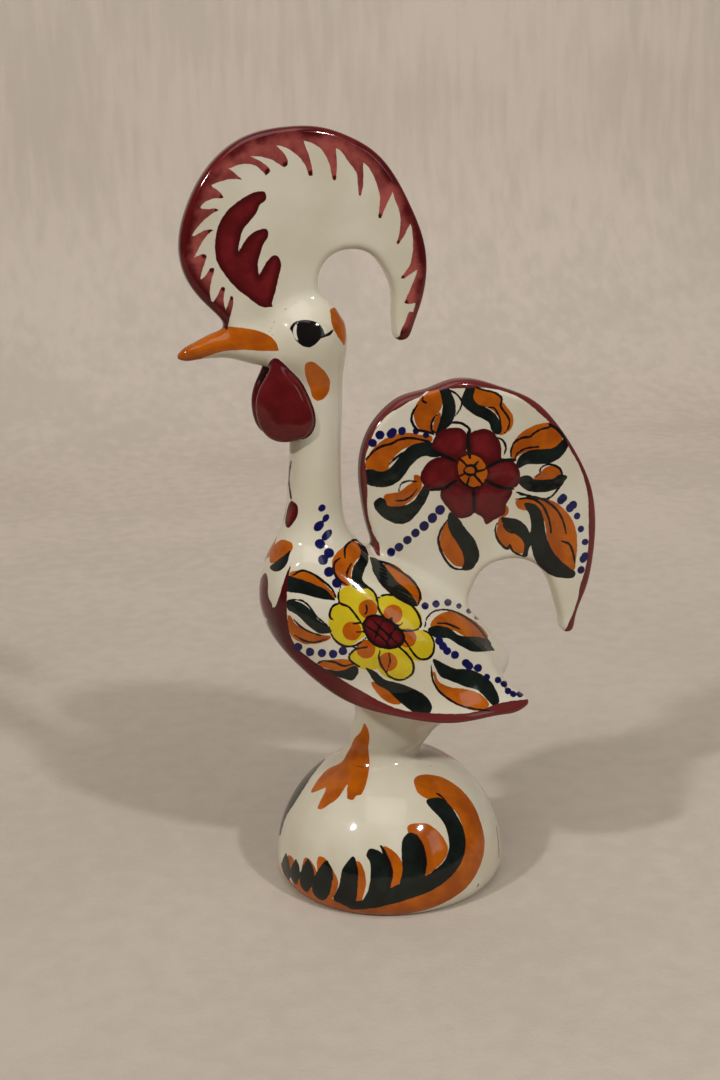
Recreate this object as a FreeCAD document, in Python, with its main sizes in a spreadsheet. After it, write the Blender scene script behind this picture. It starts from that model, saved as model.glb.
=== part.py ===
# Rooster figure in glazed earthenware, about 240 mm tall, luted together from twelve pieces of clay.
# It stands on the floor at Z = 0 and faces -X. Its left side faces -Y. The dome's axis is the Z axis.
import FreeCAD, Part
import Sketcher
import os
from math import cos, pi, sin, sqrt

os.makedirs("parts", exist_ok=True)
doc = FreeCAD.newDocument("rooster")

# Driving sizes, in millimetres
SIZES = [
    ("dome_radius", 37.0, "greatest radius of the dome"),
    ("dome_equator", 5.5, "height of the dome's widest level, where its half ball starts"),
    ("dome_wall", 5.0, "wall of the dome"),
    ("foot_draw", 2.8, "how far the flat ring that the dome stands on is drawn in from the dome's radius"),
    ("vent_radius", 1.6, "vent in the dome's crown, which lets the hollow body breathe in the kiln"),
    ("stem_seat", 0.7, "lowest level of the stem above the dome's hollow"),
    ("body_bottom", 50.0, "joint between the stem and the belly"),
    ("body_rise", 71.0, "from that joint up to the joint with the neck"),
    ("body_length", 81.2, "breast to rump"),
    ("body_width", 48.6, "width of the body without its wings"),
    ("clay_wall", 4.4, "wall of the body, stem and neck"),
    ("stem_radius", 11.6, "radius of the stem at its waist"),
    ("neck_radius", 8.1, "radius of the neck at its middle"),
    ("neck_rise", 51.0, "from the body's joint to the neck's end inside the head"),
    ("neck_lean", 2.6, "how far the neck leans back over that height"),
    ("neck_bore_rise", 32.0, "how far the hollow reaches up the neck"),
    ("wing_wall", 4.6, "thickness of the wings"),
    ("wing_flare", 7.7, "how far the wings' lower rims stand out past the body's side"),
    ("wing_short", 3.2, "how much shorter a wing is than the body"),
    ("wing_rise", 51.5, "lower rim to the wing's upper end"),
    ("wing_bottom", 60.2, "height of the wing's lower rim"),
    ("head_length", 24.6, "head, front to back"),
    ("head_width", 20.6, "head, side to side"),
    ("head_height", 25.0, "head, top to bottom"),
    ("head_lift", 5.0, "head's centre above the neck's end"),
    ("head_forward", 3.2, "head's centre in front of the neck's axis"),
    ("beak_length", 39.7, "beak's tip to the head's centre"),
    ("beak_depth", 9.2, "beak's height where it leaves the head"),
    ("beak_width", 11.0, "beak's width where it leaves the head"),
    ("beak_drop", 4.1, "the beak's middle line below the head's centre"),
    ("comb_length", 74.8, "comb, front to back"),
    ("comb_rise", 64.7, "comb, hook's tip to crown"),
    ("comb_forward", 36.8, "comb's front edge in front of the head's centre"),
    ("comb_drop", 2.2, "hook's tip below the head's centre"),
    ("comb_thickness", 6.8, "thickness of the comb"),
    ("tail_length", 78.2, "tail, front to back"),
    ("tail_rise", 86.9, "tail, hook's tip to crown"),
    ("tail_front", 7.0, "tail's front edge in front of the dome's axis"),
    ("tail_bottom", 74.6, "height of the tail's hooked tip"),
    ("tail_thickness", 7.0, "thickness of the tail"),
    ("slab_edge", 1.4, "rounding of the rims of comb and tail"),
    ("wattle_radius", 8.3, "radius of a wattle's round lower end"),
    ("wattle_drop", 16.4, "centre of that round end below the wattle's root"),
    ("wattle_lean", 2.2, "how far the round end hangs behind the root"),
    ("wattle_root", 2.4, "half width of a wattle at its root"),
    ("wattle_thickness", 4.4, "thickness of a wattle"),
    ("wattle_spacing", 9.6, "between the roots of the two wattles"),
    ("wattle_edge", 1.6, "rounding of a wattle's rim"),
    ("wattle_forward", 10.6, "a wattle's root in front of the head's centre"),
    ("wattle_sink", 4.4, "a wattle's root below the head's centre"),
    ("overrun", 2.0, "how far a cutting shape reaches past what it cuts"),
]
sheet = doc.addObject("Spreadsheet::Sheet", "sheet")
for row, (alias, value, note) in enumerate(SIZES, start=1):
    sheet.set("A%d" % row, alias)
    sheet.set("B%d" % row, str(value))
    sheet.set("C%d" % row, note)
    sheet.setAlias("B%d" % row, alias)
doc.recompute()


def size(alias):
    return float(getattr(sheet, alias))


# Shares of the body: each row is a level, by its share of body_rise above body_bottom, then the places of the
# breast side and the rump side by their shares of body_length, and the half width by its share of half body_width.
BODY_SHARES = [
    (0.000, -0.140, 0.208, 0.535),
    (0.070, -0.122, 0.308, 0.638),
    (0.141, -0.145, 0.403, 0.761),
    (0.225, -0.214, 0.485, 0.885),
    (0.296, -0.282, 0.505, 0.959),
    (0.380, -0.347, 0.454, 1.000),
    (0.479, -0.411, 0.378, 0.996),
    (0.563, -0.454, 0.303, 0.947),
    (0.662, -0.483, 0.196, 0.856),
    (0.746, -0.474, 0.083, 0.741),
    (0.817, -0.453, -0.016, 0.638),
    (0.887, -0.431, -0.089, 0.527),
]
# Shares of the stem: level between its lower end and body_bottom, centre by its share of stem_radius, radius by
# its share of stem_radius.
STEM_SHARES = [(0.00, -0.16, 1.07), (0.33, -0.17, 1.01), (0.52, -0.07, 1.04), (0.76, 0.07, 1.13)]
# Shares of the neck: level by its share of neck_rise above the body, radius by its share of neck_radius.
NECK_SHARES = [(0.00, 1.19), (0.12, 1.07), (0.30, 1.00), (0.57, 0.98), (1.00, 1.00)]
NECK_PLACE_SHARE = -0.268
# Shares of the flared skirt that the wings are cut from: level above wing_bottom by its share of wing_rise,
# centre and half length by their shares of the wing's length, half width by its share of half the spread.
SKIRT_SHARES = [
    (-0.120, 0.179, 0.667, 1.094),
    (0.000, 0.154, 0.628, 1.000),
    (0.113, 0.115, 0.590, 0.906),
    (0.229, 0.071, 0.551, 0.850),
    (0.365, 0.013, 0.506, 0.819),
    (0.520, -0.051, 0.449, 0.788),
    (0.676, -0.128, 0.387, 0.713),
    (0.831, -0.192, 0.318, 0.609),
    (0.967, -0.250, 0.238, 0.488),
    (1.100, -0.276, 0.179, 0.394),
]
# Shares of the wing's outline, seen from the side: along the wing from its front end, and up wing_rise.
# The first points run down the front rim and back along the lower rim to the tip, and the rest returns above.
WING_SHARES = [
    (0.055, 0.975), (0.010, 0.770), (0.002, 0.620), (0.030, 0.470), (0.095, 0.345), (0.235, 0.172),
    (0.430, 0.070), (0.670, 0.006), (0.850, 0.004), (0.965, 0.004), (1.002, 0.030), (0.975, 0.078),
    (0.900, 0.190), (0.860, 0.300), (0.740, 0.480), (0.560, 0.690), (0.390, 0.860), (0.230, 0.985),
    (0.120, 1.020),
]
WING_FRONT_SHARE = -0.484
# Share of a full turn by which each wattle opens towards the neck.
WATTLE_SPLAY_SHARE = 0.055
# Shares of the comb's outline: back along comb_length from its front edge, and up comb_rise from the hook's tip.
COMB_SHARES = [
    (0.205, 0.090), (0.150, 0.162), (0.078, 0.252), (0.019, 0.360), (0.000, 0.504), (0.037, 0.665),
    (0.131, 0.842), (0.280, 0.965), (0.430, 0.999), (0.580, 0.992), (0.700, 0.942), (0.786, 0.881),
    (0.929, 0.640), (0.990, 0.445), (0.997, 0.330), (0.975, 0.190), (0.933, 0.060), (0.905, 0.010),
    (0.868, 0.010), (0.853, 0.065), (0.851, 0.140), (0.852, 0.232), (0.820, 0.337), (0.760, 0.419), (0.686, 0.443),
    (0.603, 0.420), (0.552, 0.346), (0.556, 0.240), (0.600, 0.165), (0.560, 0.060), (0.380, 0.020),
]
# Shares of the tail's outline: back along tail_length from its front edge, and up tail_rise from the hook's tip.
TAIL_SHARES = [
    (0.067, 0.385), (0.032, 0.475), (0.006, 0.600), (0.001, 0.720), (0.035, 0.830), (0.110, 0.915),
    (0.190, 0.958), (0.285, 0.975), (0.380, 1.000), (0.480, 0.998), (0.590, 0.964), (0.719, 0.911),
    (0.826, 0.815), (0.914, 0.695), (0.982, 0.554), (1.000, 0.430), (0.990, 0.290), (0.960, 0.170),
    (0.913, 0.052), (0.893, 0.008), (0.866, 0.009), (0.849, 0.055), (0.832, 0.120), (0.807, 0.195), (0.765, 0.263),
    (0.685, 0.310), (0.592, 0.318), (0.508, 0.290), (0.455, 0.215), (0.400, 0.130), (0.250, 0.150),
    (0.120, 0.230),
]
# Shares of the beak: distance from the head's centre by its share of beak_length, the places of its upper and
# lower line by their shares of beak_depth, and the half width by its share of half beak_width.
BEAK_SHARES = [
    (0.160, 0.900, -0.420, 1.080),
    (0.320, 0.960, -0.300, 1.070),
    (0.460, 0.990, -0.130, 0.980),
    (0.600, 0.985, 0.055, 0.860),
    (0.730, 0.870, 0.095, 0.700),
    (0.850, 0.640, 0.070, 0.520),
    (0.940, 0.440, 0.070, 0.340),
    (0.990, 0.280, 0.105, 0.170),
]
UP = FreeCAD.Vector(0, 0, 1)
OVAL_POINTS = 12
CURVATURE_STEPS = 2000
ROUNDING_SHARE = 0.9
FLANK_START_SHARE = 8


def oval(centre, first_axis, second_axis):
    """A closed smooth wire round centre, with the two half axes as vectors."""
    points = []
    for k in range(OVAL_POINTS):
        turn = 2 * pi * k / OVAL_POINTS
        points.append(centre + first_axis * cos(turn) + second_axis * sin(turn))
    curve = Part.BSplineCurve()
    curve.interpolate(Points=points, PeriodicFlag=True)
    return Part.Wire([curve.toShape()])


def level_oval(level, centre_x, half_length, half_width):
    centre = FreeCAD.Vector(centre_x, 0, level)
    return oval(centre, FreeCAD.Vector(-half_length, 0, 0), FreeCAD.Vector(0, half_width, 0))


def smooth_outline(points):
    """A closed smooth wire through points of the plane Y = 0, as a face."""
    curve = Part.BSplineCurve()
    curve.interpolate(Points=[FreeCAD.Vector(x, 0, z) for x, z in points], PeriodicFlag=True)
    return Part.Face(Part.Wire([curve.toShape()]))


def least_radius(face):
    """The least radius of curvature along a face's outline, which a rim's rounding has to stay under."""
    curve = face.Edges[0].Curve
    first, last = face.Edges[0].ParameterRange
    steps = [first + (last - first) * k / CURVATURE_STEPS for k in range(CURVATURE_STEPS)]
    return 1 / max(curve.curvature(step) for step in steps)


def outline_object(name, shape):
    feature = doc.addObject("Part::Feature", name)
    feature.Shape = shape
    return feature


def loft_object(name, wires):
    loft = doc.addObject("Part::Loft", name)
    loft.Sections = [outline_object("%s_level_%02d" % (name, k), wire) for k, wire in enumerate(wires)]
    loft.Solid = True
    loft.Ruled = False
    return loft


def boolean_object(kind, name, base, tool):
    result = doc.addObject(kind, name)
    result.Base = base
    result.Tool = tool
    return result


def bind(target, expressions):
    for prop, expression in expressions.items():
        target.setExpression(prop, expression)


def fuse_object(name, shapes):
    result = doc.addObject("Part::MultiFuse", name)
    result.Shapes = shapes
    return result


def level_band(name, bottom, top):
    """A block from one level to another that is wider than the figure."""
    band = doc.addObject("Part::Box", name)
    bind(band, {
        "Length": "2 * (sheet.body_length + sheet.tail_length)",
        "Width": "2 * sheet.body_length",
        "Height": "(%s) - (%s)" % (top, bottom),
        "Placement.Base.x": "-sheet.body_length - sheet.tail_length",
        "Placement.Base.y": "-sheet.body_length",
        "Placement.Base.z": bottom,
    })
    return band


def neck_levels():
    body_top = size("body_bottom") + size("body_rise")
    levels = []
    for rise_share, radius_share in NECK_SHARES:
        radius = radius_share * size("neck_radius")
        centre = NECK_PLACE_SHARE * size("body_length") + rise_share * size("neck_lean")
        levels.append((body_top + rise_share * size("neck_rise"), centre, radius, radius))
    return levels


def trunk_levels():
    """The levels of stem and body, which are one smooth skin, up to the neck's first level."""
    length = size("body_length")
    half_width = size("body_width") / 2
    stem = size("stem_radius")
    stem_bottom = size("dome_equator") + size("dome_radius") - size("dome_wall") + size("stem_seat")
    stem_rise = size("body_bottom") - stem_bottom
    levels = []
    for rise_share, centre_share, radius_share in STEM_SHARES:
        radius = radius_share * stem
        levels.append((stem_bottom + rise_share * stem_rise, centre_share * stem, radius, radius))
    for rise_share, breast_share, rump_share, width_share in BODY_SHARES:
        level = size("body_bottom") + rise_share * size("body_rise")
        centre = (breast_share + rump_share) / 2 * length
        levels.append((level, centre, (rump_share - breast_share) / 2 * length, width_share * half_width))
    return levels + neck_levels()[:1]


def skin_object(name, levels):
    return loft_object(name, [level_oval(*level) for level in levels])


def drawn_in(levels):
    """The same levels on the inner side of the clay."""
    wall = size("clay_wall")
    return [(level, centre, half_length - wall, half_width - wall)
            for level, centre, half_length, half_width in levels]


def trunk_bore():
    """The cavity of stem and body, which reaches down to the dome's crown."""
    inner = drawn_in(trunk_levels())
    below = (inner[0][0] - size("overrun"),) + inner[0][1:]
    return skin_object("trunk_bore", [below] + inner)


def neck_bore():
    top = size("body_bottom") + size("body_rise") + size("neck_bore_rise")
    return skin_object("neck_bore", [row for row in drawn_in(neck_levels()) if row[0] <= top])


def dome_profile(body):
    """Half section of the dome: flat foot ring, rounded lower edge, half ball outside and inside."""
    sketch = body.newObject("Sketcher::SketchObject", "dome_profile")
    plane = [f for f in body.Origin.OriginFeatures if f.Role == "XZ_Plane"][0]
    sketch.AttachmentSupport = [(plane, "")]
    sketch.MapMode = "FlatFace"
    radius = size("dome_radius")
    equator = size("dome_equator")
    wall = size("dome_wall")
    inner = radius - wall
    step = size("foot_draw")
    foot = radius - step
    edge_radius = (step * step + equator * equator) / (2 * step)

    def arc(cx, cz, r, start, end):
        return Part.ArcOfCircle(Part.Circle(FreeCAD.Vector(cx, cz, 0), UP, r), start, end)

    def line(x0, z0, x1, z1):
        return Part.LineSegment(FreeCAD.Vector(x0, z0, 0), FreeCAD.Vector(x1, z1, 0))

    edge_start = -sqrt(1 - ((edge_radius - step) / edge_radius) ** 2)
    flat = sketch.addGeometry(line(inner, 0, foot, 0))
    edge = sketch.addGeometry(arc(radius - edge_radius, equator, edge_radius, edge_start, 0))
    outside = sketch.addGeometry(arc(0, equator, radius, 0, pi / 2))
    crown = sketch.addGeometry(line(0, equator + radius, 0, equator + inner))
    inside = sketch.addGeometry(arc(0, equator, inner, 0, pi / 2))
    shaft = sketch.addGeometry(line(inner, equator, inner, 0))
    join = [
        ("Coincident", flat, 2, edge, 1),
        ("Coincident", edge, 2, outside, 1),
        ("Coincident", outside, 2, crown, 1),
        ("Coincident", crown, 2, inside, 2),
        ("Coincident", inside, 1, shaft, 1),
        ("Coincident", shaft, 2, flat, 1),
        ("Coincident", outside, 3, inside, 3),
    ]
    for kind, first, first_point, second, second_point in join:
        sketch.addConstraint(Sketcher.Constraint(kind, first, first_point, second, second_point))
    sketch.addConstraint(Sketcher.Constraint("PointOnObject", flat, 1, -1))
    sketch.addConstraint(Sketcher.Constraint("Horizontal", flat))
    sketch.addConstraint(Sketcher.Constraint("Vertical", shaft))
    sketch.addConstraint(Sketcher.Constraint("PointOnObject", crown, 1, -2))
    sketch.addConstraint(Sketcher.Constraint("PointOnObject", crown, 2, -2))
    sketch.addConstraint(Sketcher.Constraint("PointOnObject", outside, 3, -2))
    sketch.addConstraint(Sketcher.Constraint("Horizontal", edge, 3, outside, 3))
    sketch.addConstraint(Sketcher.Constraint("Horizontal", edge, 2, outside, 3))
    sketch.addConstraint(Sketcher.Constraint("Horizontal", inside, 1, outside, 3))
    driven = [
        ("DistanceX", (-1, 1, flat, 2), foot, "sheet.dome_radius - sheet.foot_draw"),
        ("DistanceY", (-1, 1, outside, 3), equator, "sheet.dome_equator"),
        ("Radius", (outside,), radius, "sheet.dome_radius"),
        ("Radius", (inside,), inner, "sheet.dome_radius - sheet.dome_wall"),
    ]
    for kind, points, value, expression in driven:
        index = sketch.addConstraint(Sketcher.Constraint(kind, *points, value))
        sketch.setExpression("Constraints[%d]" % index, expression)
    return sketch


def vent_hole():
    """A small hole through the dome's crown, under the middle of the stem."""
    hole = doc.addObject("Part::Cylinder", "vent")
    bind(hole, {
        "Radius": "sheet.vent_radius",
        "Height": "sheet.dome_wall + 2 * sheet.overrun",
        "Placement.Base.x": "%s * sheet.stem_radius" % STEM_SHARES[0][1],
        "Placement.Base.z": "sheet.dome_equator + sheet.dome_radius - sheet.dome_wall - sheet.overrun",
    })
    return hole


def base_dome():
    body = doc.addObject("PartDesign::Body", "dome_body")
    sketch = dome_profile(body)
    turned = body.newObject("PartDesign::Revolution", "dome_turned")
    turned.Profile = sketch
    turned.ReferenceAxis = (sketch, ["V_Axis"])
    turned.Angle = 360
    body.Tip = turned
    return boolean_object("Part::Cut", "base_dome", body, vent_hole())


def dome_ball():
    """The dome's outer ball, which shapes the underside of the stem."""
    ball = doc.addObject("Part::Sphere", "dome_ball")
    bind(ball, {"Radius": "sheet.dome_radius", "Placement.Base.z": "sheet.dome_equator"})
    return ball


def stem_collar(skin, bore):
    hollow_top = "sheet.dome_equator + sheet.dome_radius - sheet.dome_wall"
    band = level_band("stem_band", hollow_top, "sheet.body_bottom")
    solid = boolean_object("Part::Common", "stem_solid", skin, band)
    seated = boolean_object("Part::Cut", "stem_seated", solid, dome_ball())
    return boolean_object("Part::Cut", "stem_collar", seated, bore)


def body_shell(skin, bore):
    band = level_band("body_band", "sheet.body_bottom", "sheet.body_bottom + sheet.body_rise")
    solid = boolean_object("Part::Common", "body_solid", skin, band)
    return boolean_object("Part::Cut", "body_shell", solid, bore)


def wing_length():
    return size("body_length") - size("wing_short")


def skirt_object(name, inset):
    """The flared bell that both wings are cut from, drawn in by inset."""
    length = wing_length()
    half_spread = size("body_width") / 2 + size("wing_flare")
    wires = []
    for rise_share, centre_share, length_share, width_share in SKIRT_SHARES:
        level = size("wing_bottom") + rise_share * size("wing_rise")
        wires.append(level_oval(level, centre_share * length, length_share * length - inset,
                                width_share * half_spread - inset))
    return loft_object(name, wires)


def wing_plate():
    """The left wing before it is laid on the body: a shell between two bells, cut to the wing's outline."""
    front = WING_FRONT_SHARE * wing_length()
    points = []
    for along_share, up_share in WING_SHARES:
        points.append((front + along_share * wing_length(),
                       size("wing_bottom") + up_share * size("wing_rise")))
    outline = outline_object("wing_outline", smooth_outline(points))
    prism = doc.addObject("Part::Extrusion", "wing_prism")
    prism.Base = outline
    prism.DirMode = "Custom"
    prism.Dir = FreeCAD.Vector(0, -1, 0)
    prism.Solid = True
    bind(prism, {"LengthFwd": "sheet.body_width + sheet.wing_flare"})
    shell = boolean_object("Part::Cut", "wing_bells", skirt_object("bell_outer", 0.0),
                           skirt_object("bell_inner", size("wing_wall")))
    return boolean_object("Part::Common", "wing_plate", shell, prism)


def mirrored(name, source):
    mirror = doc.addObject("Part::Mirroring", name)
    mirror.Source = source
    mirror.Normal = FreeCAD.Vector(0, 1, 0)
    return mirror


def head_ball():
    ball = doc.addObject("Part::Ellipsoid", "head_ball")
    bind(ball, {
        "Radius1": "sheet.head_height / 2",
        "Radius2": "sheet.head_length / 2",
        "Radius3": "sheet.head_width / 2",
        "Placement.Base.x": HEAD_X,
        "Placement.Base.z": HEAD_Z,
    })
    return ball


HEAD_X = "%s * sheet.body_length + sheet.neck_lean - sheet.head_forward" % NECK_PLACE_SHARE
HEAD_Z = "sheet.body_bottom + sheet.body_rise + sheet.neck_rise + sheet.head_lift"


def head_place():
    x = NECK_PLACE_SHARE * size("body_length") + size("neck_lean") - size("head_forward")
    z = size("body_bottom") + size("body_rise") + size("neck_rise") + size("head_lift")
    return x, z


def neck_tube(neck_skin, ball):
    hollow = boolean_object("Part::Cut", "neck_hollow", neck_skin, neck_bore())
    return boolean_object("Part::Cut", "neck_tube", hollow, ball)


def beak_object():
    head_x, head_z = head_place()
    depth = size("beak_depth")
    root = head_z - size("beak_drop")
    wires = []
    for reach_share, upper_share, lower_share, width_share in BEAK_SHARES:
        centre = FreeCAD.Vector(head_x - reach_share * size("beak_length"), 0,
                                root + (upper_share + lower_share) / 2 * depth)
        half_depth = FreeCAD.Vector(0, 0, (upper_share - lower_share) / 2 * depth)
        half_width = FreeCAD.Vector(0, width_share * size("beak_width") / 2, 0)
        wires.append(oval(centre, half_width, half_depth))
    return loft_object("beak_cone", wires)


def slab_object(name, outline_points, thickness):
    """An upright slab about the plane Y = 0 with a rounded rim."""
    outline = outline_object("%s_outline" % name, smooth_outline(outline_points))
    plate = doc.addObject("Part::Extrusion", "%s_plate" % name)
    plate.Base = outline
    plate.DirMode = "Custom"
    plate.Dir = FreeCAD.Vector(0, 1, 0)
    plate.Solid = True
    plate.Symmetric = True
    bind(plate, {"LengthFwd": thickness})
    doc.recompute()
    rounded = doc.addObject("Part::Fillet", "%s_rounded" % name)
    rounded.Base = plate
    rim_radius = min(size("slab_edge"), ROUNDING_SHARE * least_radius(outline.Shape))
    rims = [number for number, edge in enumerate(plate.Shape.Edges, start=1) if edge.isClosed()]
    rounded.Edges = [(number, rim_radius, rim_radius) for number in rims]
    return rounded


def comb_object():
    head_x, head_z = head_place()
    front = head_x - size("comb_forward")
    bottom = head_z - size("comb_drop")
    points = [(front + along_share * size("comb_length"), bottom + up_share * size("comb_rise"))
              for along_share, up_share in COMB_SHARES]
    return slab_object("comb", points, "sheet.comb_thickness")


def tail_object():
    points = [(-size("tail_front") + along_share * size("tail_length"),
               size("tail_bottom") + up_share * size("tail_rise")) for along_share, up_share in TAIL_SHARES]
    return slab_object("tail", points, "sheet.tail_thickness")


def wattle_body(name):
    """A flat drop: a round lower end and two straight flanks that run up to a narrow root."""
    body = doc.addObject("PartDesign::Body", name)
    sketch = body.newObject("Sketcher::SketchObject", "%s_profile" % name)
    plane = [f for f in body.Origin.OriginFeatures if f.Role == "XZ_Plane"][0]
    sketch.AttachmentSupport = [(plane, "")]
    sketch.MapMode = "FlatFace"
    radius = size("wattle_radius")
    drop = size("wattle_drop")
    lean = size("wattle_lean")
    root = size("wattle_root")
    bulb = Part.Circle(FreeCAD.Vector(lean, -drop, 0), UP, radius)
    past_half = pi / FLANK_START_SHARE
    round_end = sketch.addGeometry(Part.ArcOfCircle(bulb, -pi - past_half, past_half))
    left_foot = FreeCAD.Vector(lean - radius, -drop, 0)
    right_foot = FreeCAD.Vector(lean + radius, -drop, 0)
    left_flank = sketch.addGeometry(Part.LineSegment(FreeCAD.Vector(-root, 0, 0), left_foot))
    right_flank = sketch.addGeometry(Part.LineSegment(right_foot, FreeCAD.Vector(root, 0, 0)))
    top = sketch.addGeometry(Part.LineSegment(FreeCAD.Vector(root, 0, 0), FreeCAD.Vector(-root, 0, 0)))
    constraints = [
        ("Coincident", left_flank, 1, top, 2),
        ("Coincident", right_flank, 2, top, 1),
        ("Tangent", left_flank, 2, round_end, 1),
        ("Tangent", round_end, 2, right_flank, 1),
        ("PointOnObject", top, 1, -1),
        ("Symmetric", top, 1, top, 2, -1, 1),
    ]
    for item in constraints:
        sketch.addConstraint(Sketcher.Constraint(*item))
    driven = [
        ("Radius", (round_end,), radius, "sheet.wattle_radius"),
        ("DistanceX", (-1, 1, round_end, 3), lean, "sheet.wattle_lean"),
        ("DistanceY", (round_end, 3, -1, 1), drop, "sheet.wattle_drop"),
        ("DistanceX", (top, 2, top, 1), 2 * root, "2 * sheet.wattle_root"),
    ]
    for kind, points, value, expression in driven:
        index = sketch.addConstraint(Sketcher.Constraint(kind, *points, value))
        sketch.setExpression("Constraints[%d]" % index, expression)
    pad = body.newObject("PartDesign::Pad", "%s_pad" % name)
    pad.Profile = sketch
    pad.Midplane = True
    pad.setExpression("Length", "sheet.wattle_thickness")
    doc.recompute()
    rounded = body.newObject("PartDesign::Fillet", "%s_rounded" % name)
    edges = []
    for number, edge in enumerate(pad.Shape.Edges, start=1):
        ends = [v.Y for v in edge.Vertexes]
        heights = [v.Z for v in edge.Vertexes]
        if max(ends) - min(ends) < size("wattle_edge") / 2 and min(heights) < -size("wattle_edge"):
            edges.append("Edge%d" % number)
    rounded.Base = (pad, edges)
    rounded.setExpression("Radius", "sheet.wattle_edge")
    body.Tip = rounded
    return body


def wattle(name, side, face, neck_skin):
    """A drop that hangs from the beak's root, opens towards the neck and lies against it."""
    body = wattle_body("%s_body" % name)
    body.Placement.Rotation = FreeCAD.Rotation(UP, side * 360 * WATTLE_SPLAY_SHARE)
    bind(body, {
        "Placement.Base.x": "%s - sheet.wattle_forward" % HEAD_X,
        "Placement.Base.y": "%d * sheet.wattle_spacing / 2" % side,
        "Placement.Base.z": "%s - sheet.wattle_sink" % HEAD_Z,
    })
    hung = boolean_object("Part::Cut", "%s_hung" % name, body, face)
    return boolean_object("Part::Cut", name, hung, neck_skin)


def build():
    skin = skin_object("trunk_skin", trunk_levels())
    bore = trunk_bore()
    neck_skin = skin_object("neck_skin", neck_levels())
    ball = head_ball()
    beak_cone = beak_object()
    face = fuse_object("head_with_beak", [ball, beak_cone])
    comb_slab = comb_object()
    tail_slab = tail_object()
    plate = wing_plate()
    nodes = {
        "base_dome": base_dome(),
        "stem_collar": stem_collar(skin, bore),
        "body_shell": body_shell(skin, bore),
        "neck_tube": neck_tube(neck_skin, ball),
        "head": ball,
        "beak": boolean_object("Part::Cut", "beak", beak_cone, ball),
        "comb": boolean_object("Part::Cut", "comb", comb_slab, face),
        "left_wing": boolean_object("Part::Cut", "left_wing", plate, skin),
        "right_wing": boolean_object("Part::Cut", "right_wing", mirrored("wing_plate_mirrored", plate), skin),
        "tail": boolean_object("Part::Cut", "tail", tail_slab, skin),
        "left_wattle": wattle("left_wattle", -1, face, neck_skin),
        "right_wattle": wattle("right_wattle", 1, face, neck_skin),
    }
    return nodes


def main():
    nodes = build()
    doc.recompute()
    for item in doc.Objects:
        if "Invalid" in item.State or "Error" in item.State:
            raise RuntimeError("%s did not build" % item.Name)
    for name, item in nodes.items():
        item.Label = name
        shape = item.Shape
        if shape.isNull() or not shape.isValid() or not shape.Solids:
            raise RuntimeError("%s has no valid solid" % name)
        print("%-14s solids %d volume %.0f" % (name, len(shape.Solids), shape.Volume))
    for name, item in nodes.items():
        item.Shape.exportStep("parts/%s.step" % name)


main()
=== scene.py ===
import math

import bpy
import numpy as np
from mathutils import Matrix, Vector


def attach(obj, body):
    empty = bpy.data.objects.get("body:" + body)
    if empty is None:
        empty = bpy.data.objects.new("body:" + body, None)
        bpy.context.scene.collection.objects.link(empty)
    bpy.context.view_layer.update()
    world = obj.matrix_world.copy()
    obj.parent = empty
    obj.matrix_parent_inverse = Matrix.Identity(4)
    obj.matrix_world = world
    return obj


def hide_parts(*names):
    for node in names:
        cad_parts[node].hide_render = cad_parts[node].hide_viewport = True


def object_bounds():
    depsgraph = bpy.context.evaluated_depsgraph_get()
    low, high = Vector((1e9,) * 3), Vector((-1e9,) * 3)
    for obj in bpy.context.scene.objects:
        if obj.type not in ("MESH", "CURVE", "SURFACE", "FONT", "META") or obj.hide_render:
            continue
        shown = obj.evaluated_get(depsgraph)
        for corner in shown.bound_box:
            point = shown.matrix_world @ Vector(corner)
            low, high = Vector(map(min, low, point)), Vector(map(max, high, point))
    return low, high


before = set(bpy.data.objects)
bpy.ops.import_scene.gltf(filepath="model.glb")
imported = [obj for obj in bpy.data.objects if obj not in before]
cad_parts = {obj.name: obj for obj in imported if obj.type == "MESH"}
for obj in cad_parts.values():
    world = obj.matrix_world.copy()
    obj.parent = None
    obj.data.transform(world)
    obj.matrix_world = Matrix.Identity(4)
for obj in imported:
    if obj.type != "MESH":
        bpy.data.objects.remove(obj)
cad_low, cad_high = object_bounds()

# The figure is worked out in millimetres in the frame's axes. Its meshes are written in metres.
METRE = 0.001

# The photograph's frame, and its camera: place, turn from square on, tilt downwards and roll
FRAME_WIDTH = 720
FRAME_HEIGHT = 1080
FOCAL_PX = 1700.0
SENSOR_HEIGHT = 36.0
CLIP_START = 0.01
CAMERA_PLACE = np.array((-139.018, -491.776, 263.0))
CAMERA_TURN = math.radians(15.0)
CAMERA_TILT = math.radians(16.4)
CAMERA_ROLL = math.radians(-1.53)

# Sizes of the clay, the same as the solids have
DOME_RADIUS = 37.0
DOME_EQUATOR = 5.5
DOME_WALL = 5.0
FOOT_DRAW = 2.8
VENT_RADIUS = 1.6
STEM_BOTTOM = 38.2
STEM_RADIUS = 11.6
BODY_BOTTOM = 50.0
BODY_RISE = 71.0
BODY_LENGTH = 81.2
BODY_WIDTH = 48.6
NECK_RADIUS = 8.1
NECK_RISE = 51.0
NECK_LEAN = 2.6
WING_WALL = 4.6
WING_SPREAD = 64.0
WING_LENGTH = 78.0
WING_RISE = 51.5
WING_BOTTOM = 60.2
HEAD_HALF = (12.3, 10.3, 12.5)
HEAD_LIFT = 5.0
HEAD_FORWARD = 3.2
BEAK_LENGTH = 39.7
BEAK_DEPTH = 9.2
BEAK_WIDTH = 11.0
BEAK_DROP = 4.1
COMB_LENGTH = 74.8
COMB_RISE = 64.7
COMB_FORWARD = 36.8
COMB_DROP = 2.2
COMB_THICKNESS = 6.8
TAIL_LENGTH = 78.2
TAIL_RISE = 86.9
TAIL_FRONT = 7.0
TAIL_BOTTOM = 74.6
TAIL_THICKNESS = 7.0
WATTLE_RADIUS = 8.3
WATTLE_PLUMP = 2.9
WATTLE_FORWARD = 10.6
WATTLE_SINK = 4.4
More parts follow.
